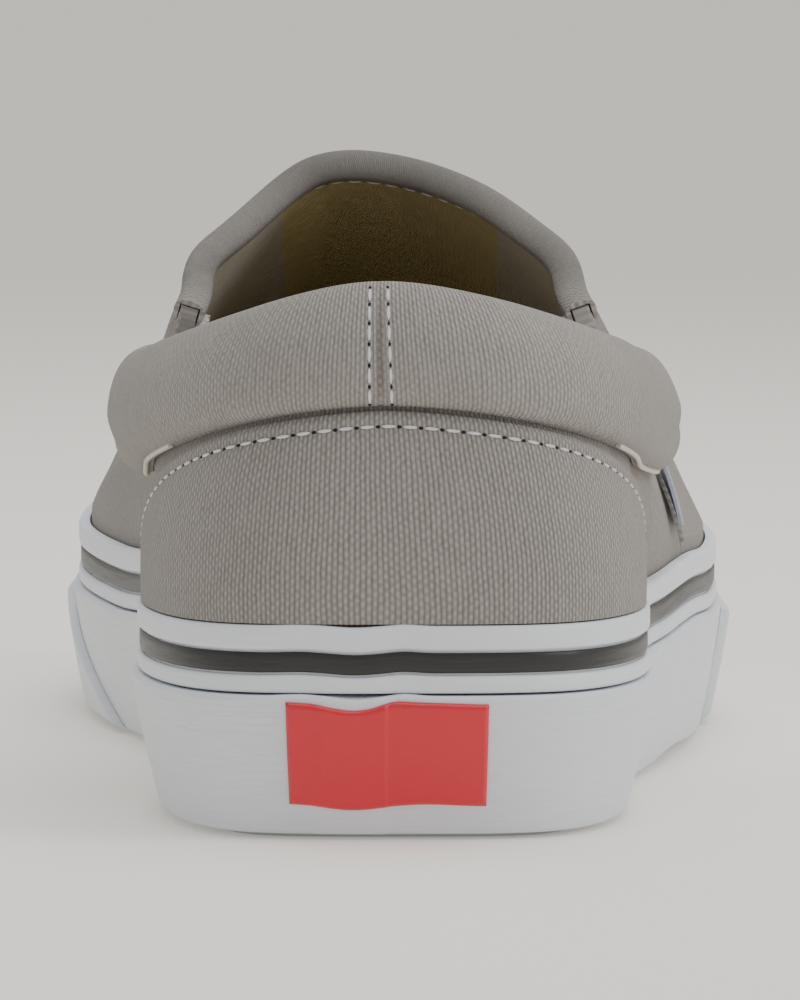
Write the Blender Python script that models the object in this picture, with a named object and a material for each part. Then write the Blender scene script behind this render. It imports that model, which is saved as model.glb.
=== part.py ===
"""Canvas slip-on sneaker for the right foot, as separate solids.

Metres, +Z up, toe towards +Y, outer (little toe) side towards +X. The shoe is drawn from the
back of the heel on the floor, and an empty carries that point so that the whole shoe stands
centred on the origin. A place on the upper is named by u, which runs once round the shoe from
the back of the heel along the outer side, and by v, which runs from the top of the rubber
sidewall (0) up to the topline (1) and below 0 behind the sidewall.
"""
from typing import NamedTuple

import bmesh
import bpy
import numpy as np

# Driving dimensions
LENGTH = 0.2895
BALL_WIDTH = 0.1068
HEEL_HEIGHT = 0.0772
INSTEP_HEIGHT = 0.0925
CLEARANCE = 0.0003

# Sole
OUTSOLE_THICKNESS = 0.0080
LUG_DEPTH = 0.0020
LUG_GROOVE = 0.0026
RIM_WIDTH = 0.0080
EDGE_CHAMFER = 0.0008
ARCH_RISE = 0.0010
TOE_SPRING = 0.0085
HEEL_FLAT_END = 0.30
BALL_FLAT_START = 0.52
BALL_FLAT_END = 0.66
INSOLE_THICKNESS = 0.0045
HEEL_CUP = 0.0015
HEEL_CUP_END = 0.4

# Rubber sidewall
TAPE_TOP = 0.0300
TAPE_GROWTH = 0.05
TAPE_FOOT = 0.0008
TAPE_THICKNESS = 0.0030
TAPE_EDGE = 0.0008
LOWER_TAPE_TOP = 0.0203
UPPER_TAPE_THICKNESS = 0.0018
UPPER_TAPE_INSET = 0.0008
STRIPE_FOOT = 0.0234
STRIPE_HEIGHT = 0.0028
STRIPE_THICKNESS = 0.0009
HEEL_FLARE = 0.0045
BALL_FLARE = 0.0030
FLARE_POWER = 1.3
BUMPER_THICKNESS = 0.0014
BUMPER_HEIGHT = 0.0180
BUMPER_FOOT_ENDS = (-0.0120, 0.0300)
BUMPER_TOP_ENDS = (-0.0180, -0.0300)
BUMPER_EDGE_SHARE = 0.5

# Upper
WALL = 0.0020
VAMP_STEP = 0.0007
COLLAR_PADDING = 0.0052
COLLAR_LINING = 0.0030
COLLAR_CROWN = 0.0030
LOBE_RADIUS = 0.0110
LOBE_END_SHARE = 0.22
LOBE_LIFT = 0.30
PADDING_POWER = 0.7
COUNTER_THICKNESS = 0.0010
COUNTER_REACH = 0.0860
COUNTER_ARCH_POWERS = (1.6, 0.74)
GORE_THICKNESS = 0.0013
GORE_SEAM = 0.0090
GORE_LAP = 0.14
QUARTER_STRIP = 0.0050
RIM_FOLD_DEPTH = 0.0036
RIM_FOLD_THICKNESS = 0.0008
RIM_SHOULDER_SHARE = 0.55
RIM_EDGE_SHARE = 0.35

# Small pieces
LABEL_WIDTH = 0.0262
LABEL_HEIGHT = 0.0144
LABEL_FOOT = 0.0051
LABEL_THICKNESS = 0.0007
LABEL_OFFSET = -0.0010
TAB_LENGTH = 0.0085
TAB_HEIGHT = 0.0088
TAB_FOOT = 0.0362
TAB_THICKNESS = 0.0008
TAB_STAND = 1.2

SHARP_ANGLE = 38
FINE_STEPS = 101


class Section(NamedTuple):
    """One station of the last, the same for both sides unless a side is named.

    Along values are shares of LENGTH and across values of BALL_WIDTH. Heights above the sidewall
    are shares of the body height, which is HEEL_HEIGHT behind the gores and INSTEP_HEIGHT in front
    of them, less TAPE_TOP. A rib leaves the sidewall by rise and lean and meets the topline from
    the point that lies out_across, out_along and drop away from it.
    """

    name: str
    along: float
    outer: float
    inner: float
    top_along: float
    top_outer: float
    top_inner: float
    top_height: float
    rise: float
    lean: float
    out_across: float
    out_along: float
    drop: float


SECTIONS = (
    #       name        along  outer  inner  t_alng t_outr t_innr t_hght rise   lean    out_ac out_al  drop
    Section("heel",     0.000, 0.000, 0.000, 0.031, -.014, 0.014, 1.000, 0.34, 0.014, 0.000, -.018, 0.30),
    Section("corner",   0.015, 0.230, 0.230, 0.045, 0.145, 0.155, 0.935, 0.32, 0.011, 0.028, -.012, 0.30),
    Section("side",     0.085, 0.332, 0.328, 0.112, 0.248, 0.253, 0.845, 0.28, 0.006, 0.033, -.003, 0.28),
    Section("ankle",    0.235, 0.354, 0.350, 0.235, 0.308, 0.316, 0.769, 0.26, 0.003, 0.024, 0.000, 0.26),
    Section("lobe",     0.339, 0.402, 0.337, 0.335, 0.329, 0.345, 0.745, 0.26, 0.002, 0.024, 0.000, 0.26),
    Section("vamp",     0.415, 0.443, 0.361, 0.404, 0.270, 0.298, 0.655, 0.17, -.012, 0.045, 0.003, 0.24),
    Section("waist",    0.490, 0.473, 0.406, 0.432, 0.250, 0.284, 0.738, 0.16, -.026, 0.080, 0.020, 0.28),
    Section("ball",     0.639, 0.498, 0.484, 0.468, 0.204, 0.240, 0.826, 0.14, -.036, 0.110, 0.068, 0.33),
    Section("joint",    0.753, 0.470, 0.502, 0.496, 0.140, 0.188, 0.902, 0.16, -.032, 0.118, 0.116, 0.39),
    Section("toebox",   0.870, 0.356, 0.464, 0.513, 0.068, 0.148, 0.958, 0.19, -.023, 0.085, 0.164, 0.44),
    Section("toeside",  0.965, 0.113, 0.362, 0.520, 0.000, 0.112, 0.989, 0.22, -.018, 0.018, 0.202, 0.47),
    Section("toe",      1.000, -.131, 0.131, 0.521, -.060, 0.060, 1.000, 0.22, -.018, -.026, 0.212, 0.47),
)
REAR_SECTIONS = ("heel", "corner", "side", "ankle", "lobe")
SPANS = {"heel": 3, "corner": 3, "side": 3, "ankle": 3, "lobe": 4, "vamp": 2,
         "waist": 3, "ball": 3, "joint": 3, "toebox": 3, "toeside": 3}


class CollarSection(NamedTuple):
    """Lower edge of the collar as a share of the body height, and its padding as a share."""

    name: str
    foot_height: float
    padding: float


COLLAR = (
    CollarSection("heel", 0.636, 0.86),
    CollarSection("corner", 0.580, 0.90),
    CollarSection("side", 0.490, 0.95),
    CollarSection("ankle", 0.385, 1.00),
    CollarSection("lobe", 0.325, 1.08),
)


class Finish(NamedTuple):
    """Colour, roughness and metallic value of a material."""

    name: str
    colour: tuple
    roughness: float
    metallic: float = 0.0


CANVAS = Finish("grey canvas", (0.30, 0.285, 0.265, 1), 0.9)
PADDING = Finish("padded grey canvas", (0.33, 0.31, 0.29, 1), 0.9)
ELASTIC = Finish("white elastic", (0.80, 0.79, 0.78, 1), 0.85)
TAPE = Finish("white rubber", (0.72, 0.74, 0.77, 1), 0.45)
STRIPE = Finish("black rubber", (0.02, 0.02, 0.02, 1), 0.45)
RED = Finish("red rubber", (0.60, 0.03, 0.05, 1), 0.4)
TREAD = Finish("tread rubber", (0.66, 0.67, 0.68, 1), 0.6)
SOCK = Finish("tan sock", (0.45, 0.38, 0.22, 1), 0.95)
TAB = Finish("plain tab", (0.55, 0.56, 0.60, 1), 0.8)


class ClosedCurve:
    """Smooth curve through values at given knots of a loop of length 1."""

    def __init__(self, knots, values):
        self.knots = np.append(knots, knots[0] + 1.0)
        self.values = np.vstack([values, values[:1]])
        steps = np.diff(self.knots)
        slopes = np.diff(self.values, axis=0) / steps[:, None]
        count = len(knots)
        matrix = np.zeros((count, count))
        for i in range(count):
            matrix[i, i - 1] = steps[i - 1]
            matrix[i, i] = 2 * (steps[i - 1] + steps[i])
            matrix[i, (i + 1) % count] = steps[i]
        bends = np.linalg.solve(matrix, 6 * (slopes - np.roll(slopes, 1, axis=0)))
        self.bends = np.vstack([bends, bends[:1]])

    def __call__(self, u):
        u = np.mod(np.asarray(u, float) - self.knots[0], 1.0) + self.knots[0]
        i = np.clip(np.searchsorted(self.knots, u, side="right") - 1, 0, len(self.knots) - 2)
        step = (self.knots[i + 1] - self.knots[i])[..., None]
        before = (u - self.knots[i])[..., None]
        after = step - before
        cubic = (self.bends[i] * after ** 3 + self.bends[i + 1] * before ** 3) / (6 * step)
        linear_start = (self.values[i] / step - self.bends[i] * step / 6) * after
        linear_end = (self.values[i + 1] / step - self.bends[i + 1] * step / 6) * before
        return cubic + linear_start + linear_end


def both_sides(outer_row, inner_row):
    """Rows once round the shoe: heel, outer side, toe, then the inner side back to the heel."""
    outer = [outer_row(s) for s in SECTIONS]
    inner = [inner_row(s) for s in SECTIONS[1:-1]]
    return np.array(outer + inner[::-1])


def body_height(section):
    top = HEEL_HEIGHT if section.name in REAR_SECTIONS else INSTEP_HEIGHT
    return top - TAPE_TOP


def rib_row(section, side, foot, top):
    """Outline place, topline place and the two handles of a rib, in metres, for one side."""
    body = body_height(section)
    return (side * foot * BALL_WIDTH, section.along * LENGTH,
            side * top * BALL_WIDTH, section.top_along * LENGTH, TAPE_TOP + section.top_height * body,
            section.rise * body, section.lean * BALL_WIDTH,
            side * section.out_across * BALL_WIDTH, section.out_along * LENGTH, section.drop * body)


ROWS = both_sides(lambda s: rib_row(s, 1, s.outer, s.top_outer),
                  lambda s: rib_row(s, -1, s.inner, s.top_inner))
CHORDS = np.linalg.norm(np.diff(np.vstack([ROWS, ROWS[:1]])[:, :2], axis=0), axis=1)
PERIMETER = CHORDS.sum()
KNOTS = np.concatenate([[0.0], np.cumsum(CHORDS)[:-1]]) / PERIMETER
RIBS = ClosedCurve(KNOTS, ROWS)
OUTER_U = {s.name: KNOTS[i] for i, s in enumerate(SECTIONS)}
INNER_U = {s.name: KNOTS[-i] - 1.0 for i, s in enumerate(SECTIONS[:-1]) if i}
STEP_U = 0.0004
COLLAR_CURVE = ClosedCurve(
    np.array([OUTER_U[c.name] for c in COLLAR] + [INNER_U[c.name] + 1.0 for c in COLLAR[:0:-1]]),
    np.array([(c.foot_height, c.padding) for c in COLLAR + COLLAR[:0:-1]]))


def stations(places):
    """Columns along one side, from the heel to the toe, with SPANS columns to each section."""
    marks = [places[s.name] for s in SECTIONS]
    columns = [np.linspace(a, b, SPANS[s.name], endpoint=False)
               for s, a, b in zip(SECTIONS, marks, marks[1:])]
    return np.append(np.concatenate(columns), marks[-1])


OUTER_COLUMNS = stations(OUTER_U)
INNER_COLUMNS = stations({"heel": 0.0, **INNER_U, "toe": OUTER_U["toe"] - 1.0})
RING = np.concatenate([OUTER_COLUMNS, INNER_COLUMNS[-2:0:-1] + 1.0])


def underside(along):
    """Height of the sole's underside: level at heel and ball, lifted in the waist and at the toe."""
    share = np.asarray(along) / LENGTH
    waist = np.clip((share - HEEL_FLAT_END) / (BALL_FLAT_START - HEEL_FLAT_END), 0, 1)
    toe = np.clip((share - BALL_FLAT_END) / (1 - BALL_FLAT_END), 0, 1)
    return ARCH_RISE * np.sin(np.pi * waist) ** 2 + TOE_SPRING * toe ** 2


def growth(along):
    """Factor by which the sidewall is taller towards the toe than at the heel."""
    share = np.clip(np.asarray(along) / LENGTH, 0, 1)
    return 1 + TAPE_GROWTH * share ** 2 * (3 - 2 * share)


def outline(u):
    """Plan place (across, along) of the sidewall's widest line and its outward direction."""
    place = RIBS(u)[..., :2]
    ahead = RIBS(np.asarray(u) + STEP_U)[..., :2] - RIBS(np.asarray(u) - STEP_U)[..., :2]
    ahead /= np.linalg.norm(ahead, axis=-1, keepdims=True)
    outward = np.stack([ahead[..., 1], -ahead[..., 0]], axis=-1)
    return place, outward


def sidewall(u, height, offset):
    """Point at a height on the sidewall, offset outward from the sidewall's widest line."""
    u, height, offset = np.broadcast_arrays(u, height, offset)
    place, outward = outline(u)
    plan = place + outward * offset[..., None]
    up = underside(place[..., 1]) + height * growth(place[..., 1])
    return np.concatenate([plan, up[..., None]], axis=-1)


def flare(u):
    """How far the foot of the tape lies inside its widest line."""
    share = np.clip(RIBS(u)[..., 1] / LENGTH, 0, 1)
    return HEEL_FLARE + (BALL_FLARE - HEEL_FLARE) * share


def tape_face(u, height):
    """Offset of the lower tape's outer face: it leans in towards the floor."""
    return -flare(u) * np.clip(1 - np.asarray(height) / LOWER_TAPE_TOP, 0, 1) ** FLARE_POWER


def bed(u, height):
    """Offset of the straight line on which the tapes lie, from the sole's edge to the tape's top."""
    foot = -flare(u) - TAPE_THICKNESS
    top = -UPPER_TAPE_INSET - UPPER_TAPE_THICKNESS
    return foot + (top - foot) * np.asarray(height) / TAPE_TOP


def rib(u, v):
    """Outer face of the quarters: straight behind the tapes, then a cubic curve to the topline."""
    u, v = np.broadcast_arrays(u, v)
    row = RIBS(u)
    top = row[..., 2:5]
    start_height = OUTSOLE_THICKNESS + CLEARANCE
    low = np.clip(-v, 0, 1)
    height = TAPE_TOP + (start_height - TAPE_TOP) * low
    margin = sidewall(u, height, bed(u, height) - CLEARANCE)
    outward = outline(u)[1]
    foot = sidewall(u, TAPE_TOP, bed(u, TAPE_TOP) - CLEARANCE)
    rise = np.stack([outward[..., 0] * row[..., 6], outward[..., 1] * row[..., 6], row[..., 5]], axis=-1)
    fall = np.stack([row[..., 7], row[..., 8], -row[..., 9]], axis=-1)
    t = np.clip(v, 0, 1)[..., None]
    curve = (foot * (1 - t) ** 3 + 3 * (foot + rise) * t * (1 - t) ** 2
             + 3 * (top + fall) * t ** 2 * (1 - t) + top * t ** 3)
    return np.where((v < 0)[..., None], margin, curve)


def face(u, v, offset=0.0):
    """Point of the upper, moved outward along the surface's own normal by the offset."""
    u, v, offset = np.broadcast_arrays(u, v, offset)
    step_v = 0.004
    round_step = rib(u + STEP_U, v) - rib(u - STEP_U, v)
    up_step = rib(u, np.clip(v + step_v, -1, 1)) - rib(u, np.clip(v - step_v, -1, 1))
    normal = np.cross(round_step, up_step)
    normal /= np.linalg.norm(normal, axis=-1, keepdims=True)
    return rib(u, v) + normal * offset[..., None]


def v_below_top(u, distance):
    """The v that lies a given distance below the topline, measured along the rib."""
    u, distance = np.broadcast_arrays(np.asarray(u, float), distance)
    fine = np.linspace(1, 0, FINE_STEPS)
    result = np.empty(u.shape)
    for i in np.ndindex(u.shape):
        line = rib(u[i], fine)
        lengths = np.append(0, np.cumsum(np.linalg.norm(np.diff(line, axis=0), axis=1)))
        result[i] = np.interp(distance[i], lengths, fine)
    return result


def v_at_height(u, height):
    """The v at which the rib stands at a given height above the floor."""
    u, height = np.broadcast_arrays(np.asarray(u, float), height)
    fine = np.linspace(0, 1, FINE_STEPS)
    result = np.empty(u.shape)
    for i in np.ndindex(u.shape):
        result[i] = np.interp(height[i], rib(u[i], fine)[:, 2], fine)
    return result


def material(finish):
    found = bpy.data.materials.get(finish.name)
    if found:
        return found
    made = bpy.data.materials.new(finish.name)
    made.use_nodes = True
    shader = made.node_tree.nodes["Principled BSDF"]
    shader.inputs["Base Color"].default_value = finish.colour
    shader.inputs["Roughness"].default_value = finish.roughness
    shader.inputs["Metallic"].default_value = finish.metallic
    return made


def add_piece(name, mesh, finish, parent):
    """Turn an edited mesh into a named, shaded object that hangs from the parent."""
    bmesh.ops.recalc_face_normals(mesh, faces=mesh.faces)
    data = bpy.data.meshes.new(name)
    mesh.to_mesh(data)
    mesh.free()
    data.materials.append(material(finish))
    data.shade_smooth()
    data.set_sharp_from_angle(angle=np.radians(SHARP_ANGLE))
    piece = bpy.data.objects.new(name, data)
    bpy.context.collection.objects.link(piece)
    piece.parent = parent
    return piece


def grid_vertices(mesh, points):
    return [[mesh.verts.new(tuple(p)) for p in row] for row in points]


def sheet(outer, inner, keep=None, closed=False):
    """Closed mesh between two grids of points, where keep says which cells are there."""
    rows, columns = outer.shape[:2]
    spans = columns if closed else columns - 1
    if keep is None:
        keep = np.ones((rows - 1, spans), bool)
    mesh = bmesh.new()
    front = grid_vertices(mesh, outer)
    back = grid_vertices(mesh, inner)

    def kept(r, c):
        if closed:
            c %= spans
        return 0 <= r < rows - 1 and 0 <= c < spans and keep[r, c]

    for r, c in np.argwhere(keep):
        n = (c + 1) % columns
        loop = [(r, c), (r, n), (r + 1, n), (r + 1, c)]
        mesh.faces.new([front[i][j] for i, j in loop])
        mesh.faces.new([back[i][j] for i, j in reversed(loop)])
        beside = [kept(r - 1, c), kept(r, c + 1), kept(r + 1, c), kept(r, c - 1)]
        for side, joined in enumerate(beside):
            if not joined:
                a, b = loop[side], loop[(side + 1) % 4]
                mesh.faces.new((front[b[0]][b[1]], front[a[0]][a[1]], back[a[0]][a[1]], back[b[0]][b[1]]))
    loose = [v for v in mesh.verts if not v.link_faces]
    bmesh.ops.delete(mesh, geom=loose, context="VERTS")
    return mesh


def band(profile):
    """Closed mesh swept once round the shoe from (height, offset function) points of a section."""
    mesh = bmesh.new()
    rings = grid_vertices(mesh, [sidewall(RING, height, offset(RING, height)) for height, offset in profile])
    for ring, following in zip(rings, rings[1:] + rings[:1]):
        for i in range(len(RING)):
            n = (i + 1) % len(RING)
            mesh.faces.new((ring[i], ring[n], following[n], following[i]))
    return mesh


def bridge(mesh, low, high):
    """Faces between two rings of as many vertices."""
    for i in range(len(low)):
        n = (i + 1) % len(low)
        mesh.faces.new((low[i], low[n], high[n], high[i]))


def paired(ring):
    """Outer and inner vertices of a ring at each station from heel to toe."""
    half = len(ring) // 2
    return [(ring[i], ring[-i % len(ring)]) for i in range(half + 1)]


def ladder_cap(mesh, ring, across=1, shape=None, stride=1):
    """Close a ring by rungs from side to side, and return the cells between the rungs."""
    pairs = paired(ring)
    last = len(pairs) - 1
    marks = [0] + list(range(1, last, stride))
    if marks[-1] != last - 1:
        marks.append(last - 1)
    marks.append(last)
    rungs = {}
    for k in marks:
        left, right = pairs[k]
        if left is right:
            rungs[k] = [left]
            continue
        rung = [left]
        for j in range(1, across):
            point = left.co.lerp(right.co, j / across)
            if shape:
                point.z += shape(k / last, j / across)
            rung.append(mesh.verts.new(point))
        rungs[k] = rung + [right]
    cells = []
    for a, b in zip(marks, marks[1:]):
        first, second = rungs[a], rungs[b]
        left_edge = [pairs[k][0] for k in range(a + 1, b)]
        right_edge = [pairs[k][1] for k in range(a + 1, b)]
        if len(first) == 1 or len(second) == 1:
            mesh.faces.new(first[::-1] + left_edge + second + right_edge[::-1])
            continue
        for j in range(across):
            left_side = left_edge if j == 0 else []
            right_side = right_edge[::-1] if j == across - 1 else []
            cell = [first[j + 1], first[j]] + left_side + [second[j], second[j + 1]] + right_side
            cells.append(mesh.faces.new(cell))
    return cells


def make_outsole(parent):
    """Moulded bottom: a flat rim all round, and tapered lugs in the hollow inside the rim."""
    def edge(inset):
        return lambda u, height: bed(u, height) - CLEARANCE - inset

    mesh = bmesh.new()
    levels = ((OUTSOLE_THICKNESS, 0.0), (EDGE_CHAMFER, 0.0), (0.0, EDGE_CHAMFER), (0.0, RIM_WIDTH),
              (LUG_DEPTH, RIM_WIDTH + EDGE_CHAMFER))
    rings = grid_vertices(mesh, [sidewall(RING, h, edge(inset)(RING, h)) for h, inset in levels])
    for high, low in zip(rings, rings[1:]):
        bridge(mesh, low, high)
    ladder_cap(mesh, rings[0], across=2)
    cells = ladder_cap(mesh, rings[-1], across=4, stride=2)
    bmesh.ops.recalc_face_normals(mesh, faces=mesh.faces)
    bmesh.ops.inset_individual(mesh, faces=cells, thickness=LUG_GROOVE / 2, depth=0.0, use_even_offset=True)
    for vertex in {v for cell in cells for v in cell.verts}:
        vertex.co.z = float(underside(vertex.co.y))
    return add_piece("outsole", mesh, TREAD, parent)


def make_tapes(parent):
    """Lower tape, upper tape with its groove, and the stripe that lies in the groove."""
    seam = LOWER_TAPE_TOP + CLEARANCE
    stripe_top = STRIPE_FOOT + STRIPE_HEIGHT
    inset = UPPER_TAPE_INSET
    groove_foot = STRIPE_FOOT - CLEARANCE
    groove_top = stripe_top + CLEARANCE
    groove = inset + STRIPE_THICKNESS

    def out(distance):
        return lambda u, height: tape_face(u, height) - distance

    lower = band(((TAPE_FOOT, bed), (TAPE_FOOT, out(TAPE_EDGE)), (TAPE_FOOT + TAPE_EDGE, out(0.0)),
                  (LOWER_TAPE_TOP * 0.5, out(0.0)), (LOWER_TAPE_TOP - TAPE_EDGE, out(0.0)),
                  (LOWER_TAPE_TOP, out(TAPE_EDGE)), (LOWER_TAPE_TOP, bed)))
    add_piece("foxing_lower", lower, TAPE, parent)
    upper = band(((seam, bed), (seam, out(inset)), (groove_foot, out(inset)), (groove_foot, out(groove)),
                  (groove_top, out(groove)), (groove_top, out(inset)), (TAPE_TOP - TAPE_EDGE, out(inset)),
                  (TAPE_TOP, out(inset + TAPE_EDGE)), (TAPE_TOP, bed)))
    add_piece("foxing_upper", upper, TAPE, parent)
    hidden = groove - CLEARANCE
    shown = inset + CLEARANCE
    stripe = band(((STRIPE_FOOT, out(hidden)), (STRIPE_FOOT, out(shown)), (stripe_top, out(shown)),
                   (stripe_top, out(hidden))))
    add_piece("foxing_stripe", stripe, STRIPE, parent)


def make_insole(parent):
    """Padded sock on the outsole, cupped at the heel and filled a little under the arch."""
    foot = OUTSOLE_THICKNESS + CLEARANCE
    top = foot + INSOLE_THICKNESS

    def edge(u, height):
        return bed(u, height) - WALL - 3 * CLEARANCE

    def relief(station, share):
        middle = np.sin(np.pi * share)
        return float(-HEEL_CUP * middle * np.clip(1 - station / HEEL_CUP_END, 0, 1))

    mesh = bmesh.new()
    rings = grid_vertices(mesh, [sidewall(RING, height, edge(RING, height)) for height in (foot, top)])
    bridge(mesh, *rings)
    ladder_cap(mesh, rings[0], across=2)
    ladder_cap(mesh, rings[1], across=4, shape=relief)
    add_piece("insole", mesh, SOCK, parent)


def wall_top(u):
    """Distance from the topline down to the canvas edge: under the collar, or under the folded rim."""
    turned = np.mod(np.asarray(u) + 0.5, 1.0) - 0.5
    rear = (turned < OUTER_U["vamp"] - STEP_U) & (turned > INNER_U["vamp"] + STEP_U)
    return np.where(rear, COLLAR_CROWN, RIM_FOLD_THICKNESS + CLEARANCE)


STRIP_U = QUARTER_STRIP / PERIMETER
UPPER_ROWS = (-1.0, -0.5, 0.0, 0.06, 0.17, 0.29, 0.42, 0.55, 0.68, 0.80, 0.90, 1.0)
NOTCH_ROW = 6


def upper_columns():
    """Columns of the upper, with a pair at each edge where the vamp lies over the quarter."""
    notch_back = (OUTER_U["lobe"] + STRIP_U, INNER_U["lobe"] - STRIP_U + 1.0)
    steps = (OUTER_U["vamp"] - STEP_U, INNER_U["vamp"] + STEP_U + 1.0)
    columns = [u for u in (*RING, *steps) if min(abs(u - n) for n in notch_back) >= 0.6 * STRIP_U]
    return np.array(sorted(columns + list(notch_back))), notch_back


def make_upper(parent):
    """Canvas wall open below and at the mouth, with a notch for each gore and the vamp on top."""
    columns, notch_back = upper_columns()
    top = v_below_top(columns, wall_top(columns))
    rows = np.array(UPPER_ROWS)[:, None]
    v = np.where(rows > 0, rows * top[None, :], rows)
    u = np.broadcast_to(columns, v.shape)
    vamp = (columns >= OUTER_U["vamp"] - 1e-9) & (columns <= INNER_U["vamp"] + 1.0 + 1e-9)
    step = VAMP_STEP * np.clip(v / UPPER_ROWS[3], 0, 1) * vamp[None, :]
    middle = 0.5 * (columns + np.append(columns[1:], columns[0] + 1.0))
    notch = ((middle > notch_back[0]) & (middle < OUTER_U["vamp"] - STEP_U)) | (
        (middle < notch_back[1]) & (middle > INNER_U["vamp"] + STEP_U + 1.0))
    keep = np.ones((len(rows) - 1, len(columns)), bool)
    keep[NOTCH_ROW:, notch] = False
    mesh = sheet(face(u, v, step), face(u, v, -WALL), keep, closed=True)
    add_piece("upper", mesh, CANVAS, parent)


def make_collar(parent):
    """Padded roll hung over the quarter's edge, with a rounded lobe at each front end."""
    ends = (INNER_U["lobe"], OUTER_U["lobe"])
    taper = np.array([0.0, 0.06, 0.25, 0.6]) * LOBE_RADIUS / PERIMETER
    between = [u for u in np.concatenate([INNER_COLUMNS[::-1], OUTER_COLUMNS[1:]])
               if ends[0] + taper[-1] * 1.3 < u < ends[1] - taper[-1] * 1.3]
    columns = np.array(sorted(set(between) | set(ends[0] + taper) | set(ends[1] - taper)))
    along = np.minimum(columns - ends[0], ends[1] - columns) * PERIMETER
    full = np.sqrt(np.clip(1 - (1 - np.clip(along / LOBE_RADIUS, 0, 1)) ** 2, 0, 1))
    foot_share, padding_share = COLLAR_CURVE(columns).T
    foot_height = TAPE_TOP + foot_share * (HEEL_HEIGHT - TAPE_TOP)
    foot_height = foot_height + (1 - full) * LOBE_LIFT * (HEEL_HEIGHT - foot_height)
    foot_v = v_at_height(columns, foot_height)
    fullness = LOBE_END_SHARE + (1 - LOBE_END_SHARE) * full
    outside = COLLAR_PADDING * padding_share * fullness
    inside = COLLAR_LINING * fullness
    middle = -WALL / 2
    slot = COLLAR_CROWN - CLEARANCE
    slot_v = v_below_top(columns, slot)
    turns = np.linspace(0, 1, 7)[1:]
    outer_rows, slot_rows = [], []

    def place(v, offset):
        return face(columns, v, offset)

    for side, thick, near in ((1, outside, CLEARANCE), (-1, inside, -(WALL + CLEARANCE))):
        pad, bare = [], []
        first_fall = (1 - np.cos(np.pi * turns[0])) / 2
        for turn in turns:
            fall = (1 - np.cos(np.pi * turn)) / 2
            slot_fall = (fall - first_fall) / (1 - first_fall)
            base = middle + (near - middle) * min(1.0, 2 * turn)
            bulge = side * thick * np.sin(np.pi * turn) ** PADDING_POWER
            pad.append(place(1 + (foot_v - 1) * fall, base + bulge))
            bare.append(place(slot_v + (foot_v - slot_v) * slot_fall, near))
        if side == 1:
            outer_rows = pad[::-1] + [place(1.0, middle)]
            slot_rows = bare[::-1] + [place(slot_v, middle)]
        else:
            outer_rows += pad
            slot_rows += bare
    mesh = sheet(np.array(outer_rows), np.array(slot_rows))
    add_piece("collar", mesh, PADDING, parent)


def make_counter(parent):
    """Canvas overlay on the back of the quarters, with an arched upper edge."""
    reach = COUNTER_REACH / PERIMETER
    columns = np.linspace(-reach, reach, 25)
    share = np.abs(columns) / reach * 0.985
    arch = (1 - share ** COUNTER_ARCH_POWERS[0]) ** COUNTER_ARCH_POWERS[1]
    collar_foot = TAPE_TOP + COLLAR[0].foot_height * (HEEL_HEIGHT - TAPE_TOP)
    top = v_at_height(columns, TAPE_TOP + 2 * CLEARANCE + arch * (collar_foot - 4 * CLEARANCE - TAPE_TOP))
    along = RIBS(columns)[:, 1]
    foot = v_at_height(columns, underside(along) + TAPE_TOP * growth(along) + CLEARANCE)
    rows = np.linspace(0, 1, 5)[:, None]
    v = foot + (top - foot) * rows
    near = 2 * CLEARANCE
    mesh = sheet(face(columns, v, near + COUNTER_THICKNESS), face(columns, v, near))
    add_piece("heel_counter", mesh, CANVAS, parent)


def make_gore(name, lobe, vamp, towards_toe, parent):
    """Elastic behind the notch, lapped under the quarter at its back and the vamp at its front."""
    back = lobe + towards_toe * 2 * CLEARANCE / PERIMETER
    front = vamp + towards_toe * GORE_SEAM / PERIMETER
    columns = np.linspace(back, front, 9)
    top = v_below_top(columns, np.linspace(COLLAR_CROWN, RIM_FOLD_DEPTH + 2 * CLEARANCE, 9))
    foot = UPPER_ROWS[NOTCH_ROW] - GORE_LAP
    v = foot + (top - foot) * np.linspace(0, 1, 7)[:, None]
    near = -(WALL + CLEARANCE)
    mesh = sheet(face(columns, v, near), face(columns, v, near - GORE_THICKNESS))
    add_piece(name, mesh, ELASTIC, parent)


def make_throat_rim(parent):
    """Folded edge of the vamp, hung over the canvas all round the front of the mouth."""
    first = OUTER_U["vamp"]
    last = INNER_U["vamp"] + 1.0
    columns = np.array([first, *[u for u in RING if first + STEP_U < u < last - STEP_U], last])
    outside = VAMP_STEP + CLEARANCE
    inside = -(WALL + CLEARANCE)
    middle = 0.5 * (VAMP_STEP - WALL)
    deep = v_below_top(columns, RIM_FOLD_DEPTH)
    shallow = v_below_top(columns, RIM_SHOULDER_SHARE * RIM_FOLD_THICKNESS)
    slot = v_below_top(columns, RIM_FOLD_THICKNESS)
    thin = RIM_EDGE_SHARE * RIM_FOLD_THICKNESS
    shell = ((deep, outside + thin), (shallow, outside + RIM_FOLD_THICKNESS), (1.0, middle),
             (shallow, inside - RIM_FOLD_THICKNESS), (deep, inside - thin))
    core = ((deep, outside), (slot, outside), (slot, middle), (slot, inside), (deep, inside))
    mesh = sheet(np.array([face(columns, v, o) for v, o in shell]),
                 np.array([face(columns, v, o) for v, o in core]))
    add_piece("throat_rim", mesh, CANVAS, parent)


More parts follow.
